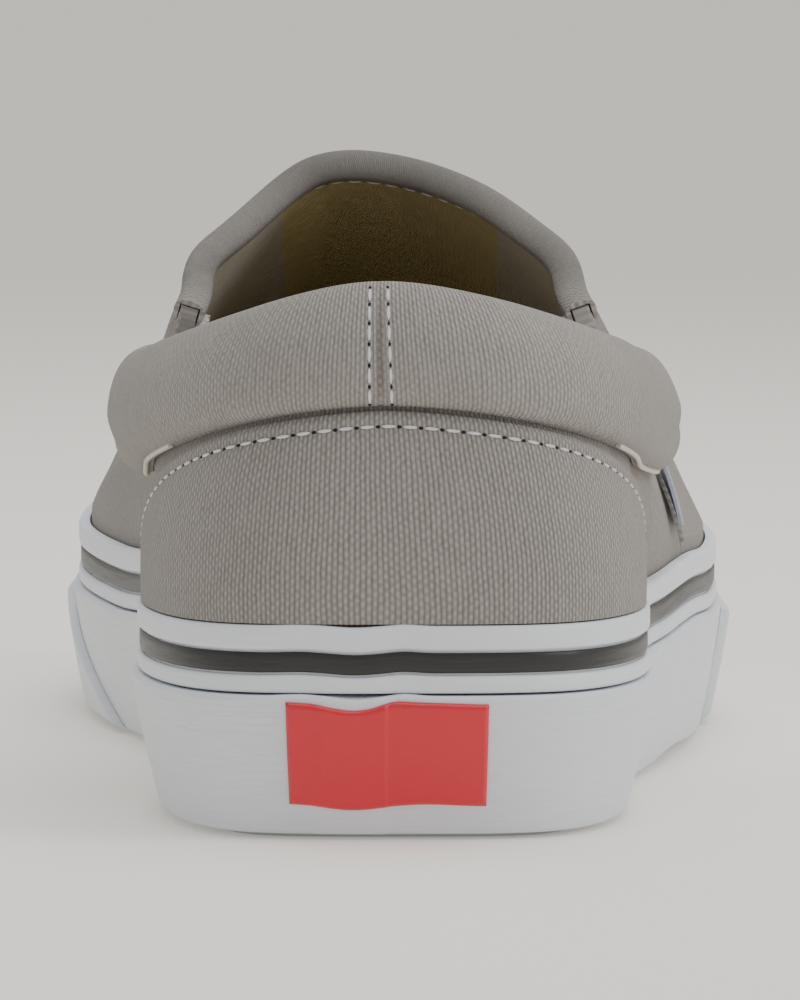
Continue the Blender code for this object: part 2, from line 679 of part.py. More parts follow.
def make_bumper(parent):
    """Extra strip of tape round the toe, whose ends slant forward as they rise.

    Between the slanted ends it stands on the lower tape's own columns, so that both keep the
    same flats and the gap between them is even.
    """
    ball = np.array([OUTER_U["ball"], INNER_U["ball"] + 1.0])
    foot_ends = ball + np.array(BUMPER_FOOT_ENDS) / PERIMETER
    top_ends = ball + np.array(BUMPER_TOP_ENDS) / PERIMETER
    rows = np.linspace(0, 1, 4)[:, None]
    start = foot_ends[0] + (top_ends[0] - foot_ends[0]) * rows
    end = foot_ends[1] + (top_ends[1] - foot_ends[1]) * rows
    level = RING[(RING > start.max()) & (RING < end.min())]
    rise = start + (level[0] - start) * np.linspace(0, 1, 3)[None, :]
    fall = level[-1] + (end - level[-1]) * np.linspace(0, 1, 8)[None, :]
    middle = np.broadcast_to(level[1:-1], (len(rows), len(level) - 2))
    u = np.concatenate([rise, middle, fall], axis=1)
    height = (TAPE_FOOT + BUMPER_HEIGHT * rows) * np.ones_like(u)
    near = tape_face(u, height) + CLEARANCE
    thick = BUMPER_THICKNESS * np.where((rows > 0) & (rows < 1), 1.0, BUMPER_EDGE_SHARE)
    mesh = sheet(sidewall(u, height, near + thick), sidewall(u, height, near))
    add_piece("toe_bumper", mesh, TAPE, parent)


def make_label(parent):
    """Plain plate of red rubber on the back of the lower tape."""
    middle = LABEL_OFFSET / PERIMETER
    half = 0.5 * LABEL_WIDTH / PERIMETER
    u = np.linspace(middle - half, middle + half, 9)[None, :]
    height = LABEL_FOOT + LABEL_HEIGHT * np.linspace(0, 1, 5)[:, None]
    near = tape_face(u, height) + CLEARANCE
    mesh = sheet(sidewall(u, height, near + LABEL_THICKNESS), sidewall(u, height, near))
    add_piece("heel_label", mesh, RED, parent)


def make_tab(parent):
    """Plain folded tab that comes out of the outer seam at the vamp's edge."""
    front = OUTER_U["vamp"] - STEP_U - 2 * CLEARANCE / PERIMETER
    columns = np.linspace(front - TAB_LENGTH / PERIMETER, front, 4)
    v = np.array([v_at_height(columns, TAB_FOOT + TAB_HEIGHT * share) for share in (0.0, 0.5, 1.0)])
    stand = np.linspace(TAB_STAND, 0.0, 4) * TAB_THICKNESS
    near = 2 * CLEARANCE + stand
    mesh = sheet(face(columns, v, near + TAB_THICKNESS), face(columns, v, near))
    add_piece("side_tab", mesh, TAB, parent)


def clear_scene():
    for old in list(bpy.data.objects):
        bpy.data.objects.remove(old, do_unlink=True)


def make_shoe():
    """All pieces of the shoe, carried by an empty so that the box stands centred on the origin."""
    shoe = bpy.data.objects.new("shoe", None)
    bpy.context.collection.objects.link(shoe)
    make_outsole(shoe)
    make_tapes(shoe)
    make_insole(shoe)
    make_upper(shoe)
    make_collar(shoe)
    make_counter(shoe)
    make_gore("gore_outer", OUTER_U["lobe"], OUTER_U["vamp"], 1, shoe)
    make_gore("gore_inner", INNER_U["lobe"], INNER_U["vamp"], -1, shoe)
    make_throat_rim(shoe)
    make_bumper(shoe)
    make_label(shoe)
    make_tab(shoe)
    corners = np.array([v.co for piece in shoe.children for v in piece.data.vertices])
    low, high = corners.min(axis=0), corners.max(axis=0)
    shoe.location = (-(low[0] + high[0]) / 2, -(low[1] + high[1]) / 2, -low[2])


clear_scene()
make_shoe()
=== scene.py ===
"""Looks of a canvas slip-on sneaker for the right foot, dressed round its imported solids.

Metres, +Z up, toe towards +Y, outer side towards +X. The shoe's surfaces are functions of u,
which runs once round the shoe from the back of the heel along the outer side, and of a height
or of v, which runs from the top of the rubber sidewall (0) to the topline (1).
"""

import logging
from dataclasses import dataclass, field
from enum import Enum
from typing import Callable, NamedTuple, Optional, Sequence, Union

import bmesh
import bpy
import numpy as np
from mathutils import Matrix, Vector


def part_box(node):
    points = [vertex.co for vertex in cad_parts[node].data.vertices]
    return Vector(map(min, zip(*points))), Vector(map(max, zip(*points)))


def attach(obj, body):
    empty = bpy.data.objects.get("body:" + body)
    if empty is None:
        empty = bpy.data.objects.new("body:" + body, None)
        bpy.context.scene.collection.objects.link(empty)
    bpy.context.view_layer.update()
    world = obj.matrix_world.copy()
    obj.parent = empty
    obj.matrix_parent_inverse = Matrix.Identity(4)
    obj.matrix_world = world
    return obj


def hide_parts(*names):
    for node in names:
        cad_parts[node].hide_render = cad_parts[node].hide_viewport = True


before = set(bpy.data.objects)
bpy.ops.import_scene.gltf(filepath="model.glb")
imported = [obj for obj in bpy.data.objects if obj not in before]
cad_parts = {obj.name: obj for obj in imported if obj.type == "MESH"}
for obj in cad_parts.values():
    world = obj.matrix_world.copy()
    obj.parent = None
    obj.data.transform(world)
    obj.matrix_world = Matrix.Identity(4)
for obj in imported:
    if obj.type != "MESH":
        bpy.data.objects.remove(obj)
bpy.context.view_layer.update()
LOG = logging.getLogger("slip_on")
BODY = "root"
Array = np.ndarray
Colour = tuple[float, float, float]


class Side(Enum):
    """The two sides of the shoe, as the sign of X."""

    OUTER = 1
    INNER = -1


class Slot(Enum):
    """Material slots of the record."""

    CANVAS = "canvas"
    PADDED = "padded_canvas"
    ELASTIC = "elastic"
    TAPE = "sidewall_rubber"
    STRIPE = "stripe_rubber"
    LABEL = "label_rubber"
    TREAD = "tread_rubber"
    SOCK = "sock"
    TAB = "tab"


def linear(colour: Colour) -> tuple[float, float, float, float]:
    """Turn a display colour of 0 to 255 into the linear colour that a shader takes.

    Args:
        colour: red, green and blue as a screen shows them.

    Returns:
        Linear red, green and blue, with 1 for alpha.
    """
    share = np.asarray(colour, float) / 255
    value = np.where(share <= 0.04045, share / 12.92, ((share + 0.055) / 1.055) ** 2.4)
    return (*value.tolist(), 1.0)


def bell(distance: Array, width: float) -> Array:
    """Bell curve: e to the minus square of distance over width."""
    return np.exp(-(np.asarray(distance) / width) ** 2)


def smooth(value: Array, low: float, high: float) -> Array:
    """Smooth step: 0 below low, 1 above high, and 3t squared less 2t cubed between them.

    Args:
        value: what is stepped.
        low: where the rise starts.
        high: where it ends.

    Returns:
        Share from 0 to 1.
    """
    t = np.clip((np.asarray(value, float) - low) / (high - low), 0, 1)
    return t * t * (3 - 2 * t)


class Section(NamedTuple):
    """One station of the last: shares of the length, the ball width and the body height."""

    name: str
    along: float
    outer: float
    inner: float
    top_along: float
    top_outer: float
    top_inner: float
    top_height: float
    rise: float
    lean: float
    out_across: float
    out_along: float
    drop: float


SECTIONS = (
    #       name        along  outer  inner  t_alng t_outr t_innr t_hght rise   lean    out_ac out_al  drop
    Section("heel",     0.000, 0.000, 0.000, 0.031, -.014, 0.014, 1.000, 0.34, 0.014, 0.000, -.018, 0.30),
    Section("corner",   0.015, 0.230, 0.230, 0.045, 0.145, 0.155, 0.935, 0.32, 0.011, 0.028, -.012, 0.30),
    Section("side",     0.085, 0.332, 0.328, 0.112, 0.248, 0.253, 0.845, 0.28, 0.006, 0.033, -.003, 0.28),
    Section("ankle",    0.235, 0.354, 0.350, 0.235, 0.308, 0.316, 0.769, 0.26, 0.003, 0.024, 0.000, 0.26),
    Section("lobe",     0.339, 0.402, 0.337, 0.335, 0.329, 0.345, 0.745, 0.26, 0.002, 0.024, 0.000, 0.26),
    Section("vamp",     0.415, 0.443, 0.361, 0.404, 0.270, 0.298, 0.655, 0.17, -.012, 0.045, 0.003, 0.24),
    Section("waist",    0.490, 0.473, 0.406, 0.432, 0.250, 0.284, 0.738, 0.16, -.026, 0.080, 0.020, 0.28),
    Section("ball",     0.639, 0.498, 0.484, 0.468, 0.204, 0.240, 0.826, 0.14, -.036, 0.110, 0.068, 0.33),
    Section("joint",    0.753, 0.470, 0.502, 0.496, 0.140, 0.188, 0.902, 0.16, -.032, 0.118, 0.116, 0.39),
    Section("toebox",   0.870, 0.356, 0.464, 0.513, 0.068, 0.148, 0.958, 0.19, -.023, 0.085, 0.164, 0.44),
    Section("toeside",  0.965, 0.113, 0.362, 0.520, 0.000, 0.112, 0.989, 0.22, -.018, 0.018, 0.202, 0.47),
    Section("toe",      1.000, -.131, 0.131, 0.521, -.060, 0.060, 1.000, 0.22, -.018, -.026, 0.212, 0.47),
)
REAR_SECTIONS = ("heel", "corner", "side", "ankle", "lobe")


class ClosedCurve:
    """Smooth periodic cubic spline through values at given knots of a loop of length 1."""

    def __init__(self, knots: Array, values: Array) -> None:
        """Solve the spline's second derivatives, which make slopes agree at every knot.

        Args:
            knots: rising places on the loop.
            values: one row for each knot.
        """
        self.knots = np.append(knots, knots[0] + 1.0)
        self.values = np.vstack([values, values[:1]])
        steps = np.diff(self.knots)
        slopes = np.diff(self.values, axis=0) / steps[:, None]
        count = len(knots)
        each = np.arange(count)
        matrix = np.zeros((count, count))
        matrix[each, each - 1] = steps[each - 1]
        matrix[each, each] = 2 * (steps[each - 1] + steps[each])
        matrix[each, (each + 1) % count] = steps[each]
        bends = np.linalg.solve(matrix, 6 * (slopes - np.roll(slopes, 1, axis=0)))
        self.bends = np.vstack([bends, bends[:1]])

    def __call__(self, u: Array) -> Array:
        """Value of the spline at each u.

        Args:
            u: places on the loop, of any shape.

        Returns:
            The values, on one more axis.
        """
        u = np.mod(np.asarray(u, float) - self.knots[0], 1.0) + self.knots[0]
        i = np.clip(np.searchsorted(self.knots, u, side="right") - 1, 0, len(self.knots) - 2)
        step = (self.knots[i + 1] - self.knots[i])[..., None]
        before = (u - self.knots[i])[..., None]
        after = step - before
        cubic = (self.bends[i] * after ** 3 + self.bends[i + 1] * before ** 3) / (6 * step)
        start = (self.values[i] / step - self.bends[i] * step / 6) * after
        end = (self.values[i + 1] / step - self.bends[i + 1] * step / 6) * before
        return cubic + start + end


@dataclass
class Last:
    """The shoe's form: outline, sole line, sidewall and the faces of the upper."""

    length: float = 0.2895
    ball_width: float = 0.1068
    heel_height: float = 0.0772
    instep_height: float = 0.0925
    clearance: float = 0.0003
    outsole: float = 0.0080
    arch_rise: float = 0.0010
    toe_spring: float = 0.0085
    heel_flat_end: float = 0.30
    ball_flat_start: float = 0.52
    ball_flat_end: float = 0.66
    tape_top: float = 0.0300
    tape_growth: float = 0.05
    tape_thickness: float = 0.0030
    lower_tape_top: float = 0.0203
    upper_tape: float = 0.0018
    upper_inset: float = 0.0008
    heel_flare: float = 0.0045
    ball_flare: float = 0.0030
    flare_power: float = 1.3
    wall: float = 0.0020
    step_u: float = 0.0004
    step_v: float = 0.004
    heel_across: float = 0.00025
    place: Array = field(init=False)
    ribs: ClosedCurve = field(init=False)
    perimeter: float = field(init=False)
    outer_u: dict[str, float] = field(init=False)
    inner_u: dict[str, float] = field(init=False)

    def __post_init__(self) -> None:
        """Work out the outline's knots and where the back of the heel stands in the frame."""
        rows = [self.rib_row(s, Side.OUTER) for s in SECTIONS]
        rows += [self.rib_row(s, Side.INNER) for s in SECTIONS[-2:0:-1]]
        table = np.array(rows)
        chords = np.linalg.norm(np.diff(np.vstack([table, table[:1]])[:, :2], axis=0), axis=1)
        self.perimeter = chords.sum()
        knots = np.concatenate([[0.0], np.cumsum(chords)[:-1]]) / self.perimeter
        self.ribs = ClosedCurve(knots, table)
        self.outer_u = {s.name: knots[i] for i, s in enumerate(SECTIONS)}
        self.inner_u = {s.name: knots[-i] - 1.0 for i, s in enumerate(SECTIONS[:-1]) if i}
        self.place = np.array([self.heel_across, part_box("foxing_lower")[0].y, 0.0])

    def rib_row(self, section: Section, side: Side) -> tuple[float, ...]:
        """Outline place, topline place and the two handles of a rib, in metres.

        Args:
            section: row of the table.
            side: side of the shoe.

        Returns:
            The rib's ten numbers.
        """
        top = self.heel_height if section.name in REAR_SECTIONS else self.instep_height
        body = top - self.tape_top
        foot = section.outer if side is Side.OUTER else section.inner
        brow = section.top_outer if side is Side.OUTER else section.top_inner
        sign = side.value
        return (sign * foot * self.ball_width, section.along * self.length,
                sign * brow * self.ball_width, section.top_along * self.length,
                self.tape_top + section.top_height * body,
                section.rise * body, section.lean * self.ball_width,
                sign * section.out_across * self.ball_width, section.out_along * self.length,
                section.drop * body)

    def underside(self, along: Array) -> Array:
        """Height of the sole's underside: a squared sine in the waist, a square at the toe.

        Args:
            along: distance from the back of the heel.

        Returns:
            Height above the floor.
        """
        share = np.asarray(along) / self.length
        span = self.ball_flat_start - self.heel_flat_end
        waist = np.clip((share - self.heel_flat_end) / span, 0, 1)
        toe = np.clip((share - self.ball_flat_end) / (1 - self.ball_flat_end), 0, 1)
        return self.arch_rise * np.sin(np.pi * waist) ** 2 + self.toe_spring * toe ** 2

    def growth(self, along: Array) -> Array:
        """Factor by which the sidewall is taller towards the toe, by a smooth step."""
        return 1 + self.tape_growth * smooth(np.asarray(along) / self.length, 0, 1)

    def outline(self, u: Array) -> tuple[Array, Array]:
        """Plan place of the sidewall's widest line, and its outward direction.

        Args:
            u: places round the shoe.

        Returns:
            Places and unit directions, as X and Y.
        """
        place = self.ribs(u)[..., :2]
        ahead = self.ribs(np.asarray(u) + self.step_u)[..., :2]
        ahead = ahead - self.ribs(np.asarray(u) - self.step_u)[..., :2]
        ahead /= np.linalg.norm(ahead, axis=-1, keepdims=True)
        return place, np.stack([ahead[..., 1], -ahead[..., 0]], axis=-1)

    def sidewall(self, u: Array, height: Array, offset: Array) -> Array:
        """Point at a height on the sidewall, moved outward from its widest line by the offset.

        Args:
            u: places round the shoe.
            height: height on the tape at the heel.
            offset: distance outward.

        Returns:
            Points.
        """
        u, height, offset = np.broadcast_arrays(u, height, offset)
        place, outward = self.outline(u)
        plan = place + outward * offset[..., None]
        up = self.underside(place[..., 1]) + height * self.growth(place[..., 1])
        return np.concatenate([plan, up[..., None]], axis=-1)

    def flare(self, u: Array) -> Array:
        """How far the foot of the tape lies inside its widest line, from heel to toe."""
        share = np.clip(self.ribs(u)[..., 1] / self.length, 0, 1)
        return self.heel_flare + (self.ball_flare - self.heel_flare) * share

    def tape_face(self, u: Array, height: Array) -> Array:
        """Offset of the lower tape's face: minus the flare times a power of the share below its top."""
        below = np.clip(1 - np.asarray(height) / self.lower_tape_top, 0, 1)
        return -self.flare(u) * below ** self.flare_power

    def bed(self, u: Array, height: Array) -> Array:
        """Offset of the straight line on which the tapes lie.

        Args:
            u: places round the shoe.
            height: height on the tape at the heel.

        Returns:
            Distance outward from the widest line.
        """
        foot = -self.flare(u) - self.tape_thickness
        top = -self.upper_inset - self.upper_tape
        return foot + (top - foot) * np.asarray(height) / self.tape_top

    def rib(self, u: Array, v: Array) -> Array:
        """Outer face of the quarters: straight behind the tapes, then a cubic curve to the topline.

        Args:
            u: places round the shoe.
            v: 0 at the top of the sidewall, 1 at the topline.

        Returns:
            Points.
        """
        u, v = np.broadcast_arrays(u, v)
        row = self.ribs(u)
        top = row[..., 2:5]
        start_height = self.outsole + self.clearance
        height = self.tape_top + (start_height - self.tape_top) * np.clip(-v, 0, 1)
        margin = self.sidewall(u, height, self.bed(u, height) - self.clearance)
        outward = self.outline(u)[1]
        foot = self.sidewall(u, self.tape_top, self.bed(u, self.tape_top) - self.clearance)
        rise = np.concatenate([outward * row[..., 6:7], row[..., 5:6]], axis=-1)
        fall = np.stack([row[..., 7], row[..., 8], -row[..., 9]], axis=-1)
        t = np.clip(v, 0, 1)[..., None]
        curve = (foot * (1 - t) ** 3 + 3 * (foot + rise) * t * (1 - t) ** 2
                 + 3 * (top + fall) * t ** 2 * (1 - t) + top * t ** 3)
        return np.where((v < 0)[..., None], margin, curve)

    def face(self, u: Array, v: Array, offset: Union[Array, float] = 0.0) -> Array:
        """Point of the upper, moved along the surface's own normal by the offset.

        Args:
            u: places round the shoe.
            v: 0 at the top of the sidewall, 1 at the topline.
            offset: distance outward.

        Returns:
            Points.
        """
        u, v, offset = np.broadcast_arrays(u, v, offset)
        around = self.rib(u + self.step_u, v) - self.rib(u - self.step_u, v)
        up = self.rib(u, np.clip(v + self.step_v, -1, 1)) - self.rib(u, np.clip(v - self.step_v, -1, 1))
        normal = np.cross(around, up)
        normal /= np.linalg.norm(normal, axis=-1, keepdims=True)
        return self.rib(u, v) + normal * offset[..., None]

    def v_below_top(self, u: Array, distance: Union[Array, float]) -> Array:
        """The v that lies a given distance below the topline, measured along each rib.

        Args:
            u: places round the shoe.
            distance: length down the rib.

        Returns:
            One v for each u.
        """
        u, distance = np.broadcast_arrays(np.asarray(u, float), distance)
        fine = np.linspace(1, 0, 201)
        line = self.rib(u[:, None], fine[None, :])
        steps = np.linalg.norm(np.diff(line, axis=1), axis=2)
        lengths = np.concatenate([np.zeros((len(u), 1)), np.cumsum(steps, axis=1)], axis=1)
        return invert(lengths, fine, distance)

    def v_at_height(self, u: Array, height: Union[Array, float]) -> Array:
        """The v at which each rib stands at a given height above the floor.

        Args:
            u: places round the shoe.
            height: height above the floor.

        Returns:
            One v for each u.
        """
        u, height = np.broadcast_arrays(np.asarray(u, float), height)
        fine = np.linspace(0, 1, 201)
        return invert(self.rib(u[:, None], fine[None, :])[..., 2], fine, height)


def invert(table: Array, fine: Array, wanted: Array) -> Array:
    """Read each rising row of a table backwards, with a straight line between its samples.

    Args:
        table: one rising row for each place.
        fine: what the columns stand for.
        wanted: value to find in each row.

    Returns:
        Where each row reaches its wanted value.
    """
    after = np.clip((table < wanted[:, None]).sum(axis=1), 1, table.shape[1] - 1)
    row = np.arange(len(table))
    low, high = table[row, after - 1], table[row, after]
    share = np.clip((wanted - low) / np.maximum(high - low, 1e-12), 0, 1)
    return fine[after - 1] + (fine[after] - fine[after - 1]) * share


class Wire:
    """A value socket of a shader, on which Python's operators add Math nodes."""

    def __init__(self, shader: "Shader", socket: bpy.types.NodeSocket) -> None:
        """Hold the socket and the shader that owns it."""
        self.shader = shader
        self.socket = socket

    def math(self, operation: str, *others: Union["Wire", float]) -> "Wire":
        """Add a Math node with this value first."""
        values = dict(enumerate((self, *others)))
        return self.shader.node("ShaderNodeMath", {"operation": operation}, values)

    def __add__(self, other: Union["Wire", float]) -> "Wire":
        """Sum of two values."""
        return self.math("ADD", other)

    def __radd__(self, other: float) -> "Wire":
        """Sum with a number on the left."""
        return self.math("ADD", other)

    def __sub__(self, other: Union["Wire", float]) -> "Wire":
        """Difference of two values."""
        return self.math("SUBTRACT", other)

    def __rsub__(self, other: float) -> "Wire":
        """A number less this value."""
        return self.shader.node("ShaderNodeMath", {"operation": "SUBTRACT"}, {0: other, 1: self})

    def __mul__(self, other: Union["Wire", float]) -> "Wire":
        """Product of two values."""
        return self.math("MULTIPLY", other)

    def __rmul__(self, other: float) -> "Wire":
        """Product with a number on the left."""
        return self.math("MULTIPLY", other)

    def wave(self, pitch: float) -> "Wire":
        """Sine whose zeros lie a pitch apart."""
        return (self * (np.pi / pitch)).math("SINE")

    def size(self) -> "Wire":
        """Value without its sign."""
        return self.math("ABSOLUTE")

    def step(self, low: float, high: float) -> "Wire":
        """Smooth rise from 0 at low to 1 at high."""
        return self.shader.node("ShaderNodeMapRange", {"interpolation_type": "SMOOTHSTEP"},
                                {"Value": self, "From Min": low, "From Max": high})


class Shader:
    """One material and its nodes."""

    def __init__(self, name: str) -> None:
        """Start an empty Principled material."""
        self.material = bpy.data.materials.new(name)
        self.material.use_nodes = True
        self.tree = self.material.node_tree
        self.principled = self.tree.nodes["Principled BSDF"]

    def node(self, kind: str, settings: Optional[dict] = None, sockets: Optional[dict] = None,
             output: Union[int, str] = 0) -> Wire:
        """Add a node.

        Args:
            kind: Blender's name of the node type.
            settings: attributes, which are set first.
            sockets: values or wires of its inputs, by name or number.
            output: which output to return.

        Returns:
            The wire of that output.
        """
        made = self.tree.nodes.new(kind)
        for key, value in (settings or {}).items():
            setattr(made, key, value)
        for key, value in (sockets or {}).items():
            self.feed(made.inputs[key], value)
        return Wire(self, made.outputs[output])

    def feed(self, socket: bpy.types.NodeSocket, value: Union[Wire, float, tuple]) -> None:
        """Link a wire to a socket, or set the socket's value."""
        if isinstance(value, Wire):
            self.tree.links.new(value.socket, socket)
        else:
            socket.default_value = value

    def set(self, **values: Union[Wire, float, tuple]) -> None:
        """Feed the Principled shader, with underscores for the spaces of its socket names."""
        for key, value in values.items():
            self.feed(self.principled.inputs[key.replace("_", " ")], value)

    def cloth(self) -> Wire:
        """The piece's own cloth coordinates: metres along and across it."""
        return self.node("ShaderNodeUVMap", {"uv_map": "cloth"})

    def place(self) -> Wire:
        """Object coordinates, in metres."""
        return self.node("ShaderNodeTexCoord", output="Object")

    def parts(self, vector: Wire) -> tuple[Wire, Wire, Wire]:
        """X, Y and Z of a vector."""
        split = self.node("ShaderNodeSeparateXYZ", None, {0: vector})
        outputs = split.socket.node.outputs
        return tuple(Wire(self, outputs[i]) for i in range(3))

    def stretched(self, vector: Wire, scale: tuple[float, float, float]) -> Wire:
        """A vector multiplied by a scale on each axis."""
        return self.node("ShaderNodeVectorMath", {"operation": "MULTIPLY"}, {0: vector, 1: scale})

    def noise(self, vector: Wire, scale: float, detail: float = 3.0) -> Wire:
        """Smooth noise from 0 to 1 with a given number of features per metre."""
        return self.node("ShaderNodeTexNoise", None,
                         {"Vector": vector, "Scale": scale, "Detail": detail}, "Fac")

    def mix(self, share: Union[Wire, float], first: Union[Wire, tuple],
            second: Union[Wire, tuple]) -> Wire:
        """Mix two colours by a share."""
        return self.node("ShaderNodeMix", {"data_type": "RGBA"}, {0: share, 6: first, 7: second}, 2)

    def shade(self, colour: Union[Wire, tuple], value: Wire) -> Wire:
        """Multiply a colour by a value."""
        colour = colour if isinstance(colour, Wire) else colour[:3]
        return self.node("ShaderNodeVectorMath", {"operation": "SCALE"}, {0: colour, "Scale": value})

    def bump(self, height: Wire, depth: float, below: Optional[Wire] = None) -> Wire:
        """Normal of a relief of the given depth in metres, on top of another normal."""
        sockets = {"Height": height, "Distance": depth, "Strength": 1.0}
        if below is not None:
            sockets["Normal"] = below
        return self.node("ShaderNodeBump", None, sockets)


@dataclass(frozen=True)
class Canvas:
    """Plain-weave cotton canvas, ribbed along the warp.

    Warp height is the size of a sine across the threads, and the weft's sine of alternating
    sign crosses it, so that neighbouring ribs rise and sink in turn.
    """

    name: str
    colour: Colour
    rib: float = 0.00072
    thread: float = 0.00062
    contrast: float = 0.46
    relief: float = 0.00016
    fade: float = 0.10

    def material(self) -> bpy.types.Material:
        """Weave, slubs, a slow change of tone and a faint fuzz."""
        shader = Shader(self.name)
        cloth = shader.cloth()
        along, across, _ = shader.parts(cloth)
        drift = shader.noise(cloth, 95.0, 2.0) - 0.5
        warp = (along + drift * 0.0008).wave(self.rib)
        weft = (across + drift * 0.0009).wave(self.thread)
        weave = warp.size() + warp * weft * 0.45
        slubs = shader.noise(shader.stretched(cloth, (1500.0, 240.0, 1.0)), 1.0, 2.0)
        flecks = shader.noise(shader.stretched(cloth, (1300.0, 1500.0, 1.0)), 1.0, 1.0)
        tone = shader.noise(shader.place(), 22.0, 3.0)
        value = (1 - self.contrast * 0.62) + weave * self.contrast
        value = value + (slubs - 0.5) * 0.34 + (flecks - 0.5) * 0.42 + (tone - 0.5) * self.fade
        normal = shader.bump(weave + slubs * 0.6 + flecks * 0.5, self.relief)
        shader.set(Base_Color=shader.shade(linear(self.colour), value), Roughness=0.92, Normal=normal,
                   Sheen_Weight=0.10, Sheen_Roughness=0.5, Specular_IOR_Level=0.25)
        return shader.material


@dataclass(frozen=True)
class Lining:
    """Inside of the upper: a tan twill in the middle of the vamp and pale drill at the sides."""

    name: str
    middle: Colour
    sides: Colour
    edges: tuple[float, float] = (-0.0178, 0.0166)

    def material(self) -> bpy.types.Material:
        """Two cloths that meet along straight seams, with a fine twill, and soft folds as bumps and as
        painted light and shade.
        """
        shader = Shader(self.name)
        cloth = shader.cloth()
        along, across, _ = shader.parts(cloth)
        place = shader.place()
        x, y, _ = shader.parts(place)
        inside = x.step(self.edges[0] - 0.0004, self.edges[0] + 0.0004)
        inside = inside * (1 - x.step(self.edges[1] - 0.0004, self.edges[1] + 0.0004))
        front = y.step(-0.035, -0.030)
        twill = (along * 0.8 + across).wave(0.0007)
        stains = shader.noise(place, 60.0, 3.0)
        fold_relief_and_shade = shader.noise(shader.stretched(place, (420.0, 420.0, 30.0)), 1.0, 2.0)
        # The fold noise also lightens and darkens the colour: painted light and shade of the soft folds.
        value = 0.94 + twill * 0.04 + (stains - 0.5) * 0.16 + (fold_relief_and_shade - 0.5) * 0.22
        colour = shader.mix(inside * front, linear(self.sides), linear(self.middle))
        normal = shader.bump(twill * 0.15 + fold_relief_and_shade, 0.0005)
        shader.set(Base_Color=shader.shade(colour, value), Roughness=0.95, Normal=normal,
                   Specular_IOR_Level=0.2)
        return shader.material


@dataclass(frozen=True)
class Elastic:
    """Elastic webbing with ribs that run up the shoe."""

    name: str
    colour: Colour
    rib: float = 0.0011

    def material(self) -> bpy.types.Material:
        """Ribs as a sine along the webbing, with a fine cross thread."""
        shader = Shader(self.name)
        cloth = shader.cloth()
        along, across, _ = shader.parts(cloth)
        ribs = along.wave(self.rib).size()
        threads = across.wave(0.0005).size()
        value = 0.84 + ribs * 0.14 + threads * 0.05
        shader.set(Base_Color=shader.shade(linear(self.colour), value), Roughness=0.85,
                   Normal=shader.bump(ribs + threads * 0.3, 0.0003), Specular_IOR_Level=0.3)
        return shader.material


@dataclass(frozen=True)
class Rubber:
    """Moulded or rolled rubber with a fine crinkle along it, darkened near the floor by painted shade."""

    name: str
    colour: Colour
    roughness: float = 0.48
    crinkle: float = 0.0
    # Share of painted shade that darkens the rubber near the floor.
    floor_shade: float = 0.05
    coat: float = 0.0

    def material(self) -> bpy.types.Material:
        """Long thin noise for the crinkle, cloudy noise for tone and for painted shade near the floor, by
        height.
        """
        shader = Shader(self.name)
        cloth = shader.cloth()
        place = shader.place()
        height = shader.parts(place)[2]
        streaks = shader.noise(shader.stretched(cloth, (85.0, 1150.0, 1.0)), 1.0, 3.0)
        fine = shader.noise(shader.stretched(cloth, (240.0, 2600.0, 1.0)), 1.0, 2.0)
        pores = shader.noise(place, 2600.0, 2.0)
        clouds = shader.noise(place, 38.0, 3.0)
        # Painted shade: a cloudy darkening within 9 mm of the floor stands in for the shade where the rubber
        # meets the floor.
        painted_floor_shade = (1 - height.step(0.0, 0.009)) * clouds * self.floor_shade
        value = 1.0 + (clouds - 0.5) * 0.05 + (streaks - 0.5) * (0.10 * min(self.crinkle, 1.0)) - painted_floor_shade
        relief = (streaks + fine * 0.35) * self.crinkle + pores * 0.10
        shader.set(Base_Color=shader.shade(linear(self.colour), value),
                   Roughness=self.roughness + (pores - 0.5) * 0.12 + (streaks - 0.5) * 0.10,
                   Normal=shader.bump(relief, 0.00028), Coat_Weight=self.coat, Coat_Roughness=0.3)
        return shader.material


@dataclass(frozen=True)
class Thread:
    """Sewing thread, or the painted shade of a needle hole."""

    name: str
    colour: Colour

    def material(self) -> bpy.types.Material:
        """Twisted strands as a slanted sine on object coordinates."""
        shader = Shader(self.name)
        x, y, z = shader.parts(shader.place())
        twist = (x + y + z * 1.4).wave(0.00032).size()
        shader.set(Base_Color=shader.shade(linear(self.colour), 0.86 + twist * 0.16), Roughness=0.8,
                   Normal=shader.bump(twist, 0.00005))
        return shader.material


@dataclass(frozen=True)
class Backdrop:
    """Matt paper of one pale tone."""

    name: str
    colour: Colour
    glow: float = 0.0

    def material(self) -> bpy.types.Material:
        """Even paper with hardly any gloss, lifted a little by its own light."""
        shader = Shader(self.name)
        shader.set(Base_Color=linear(self.colour), Roughness=1.0, Specular_IOR_Level=0.0,
                   Emission_Color=linear(self.colour), Emission_Strength=self.glow)
        return shader.material


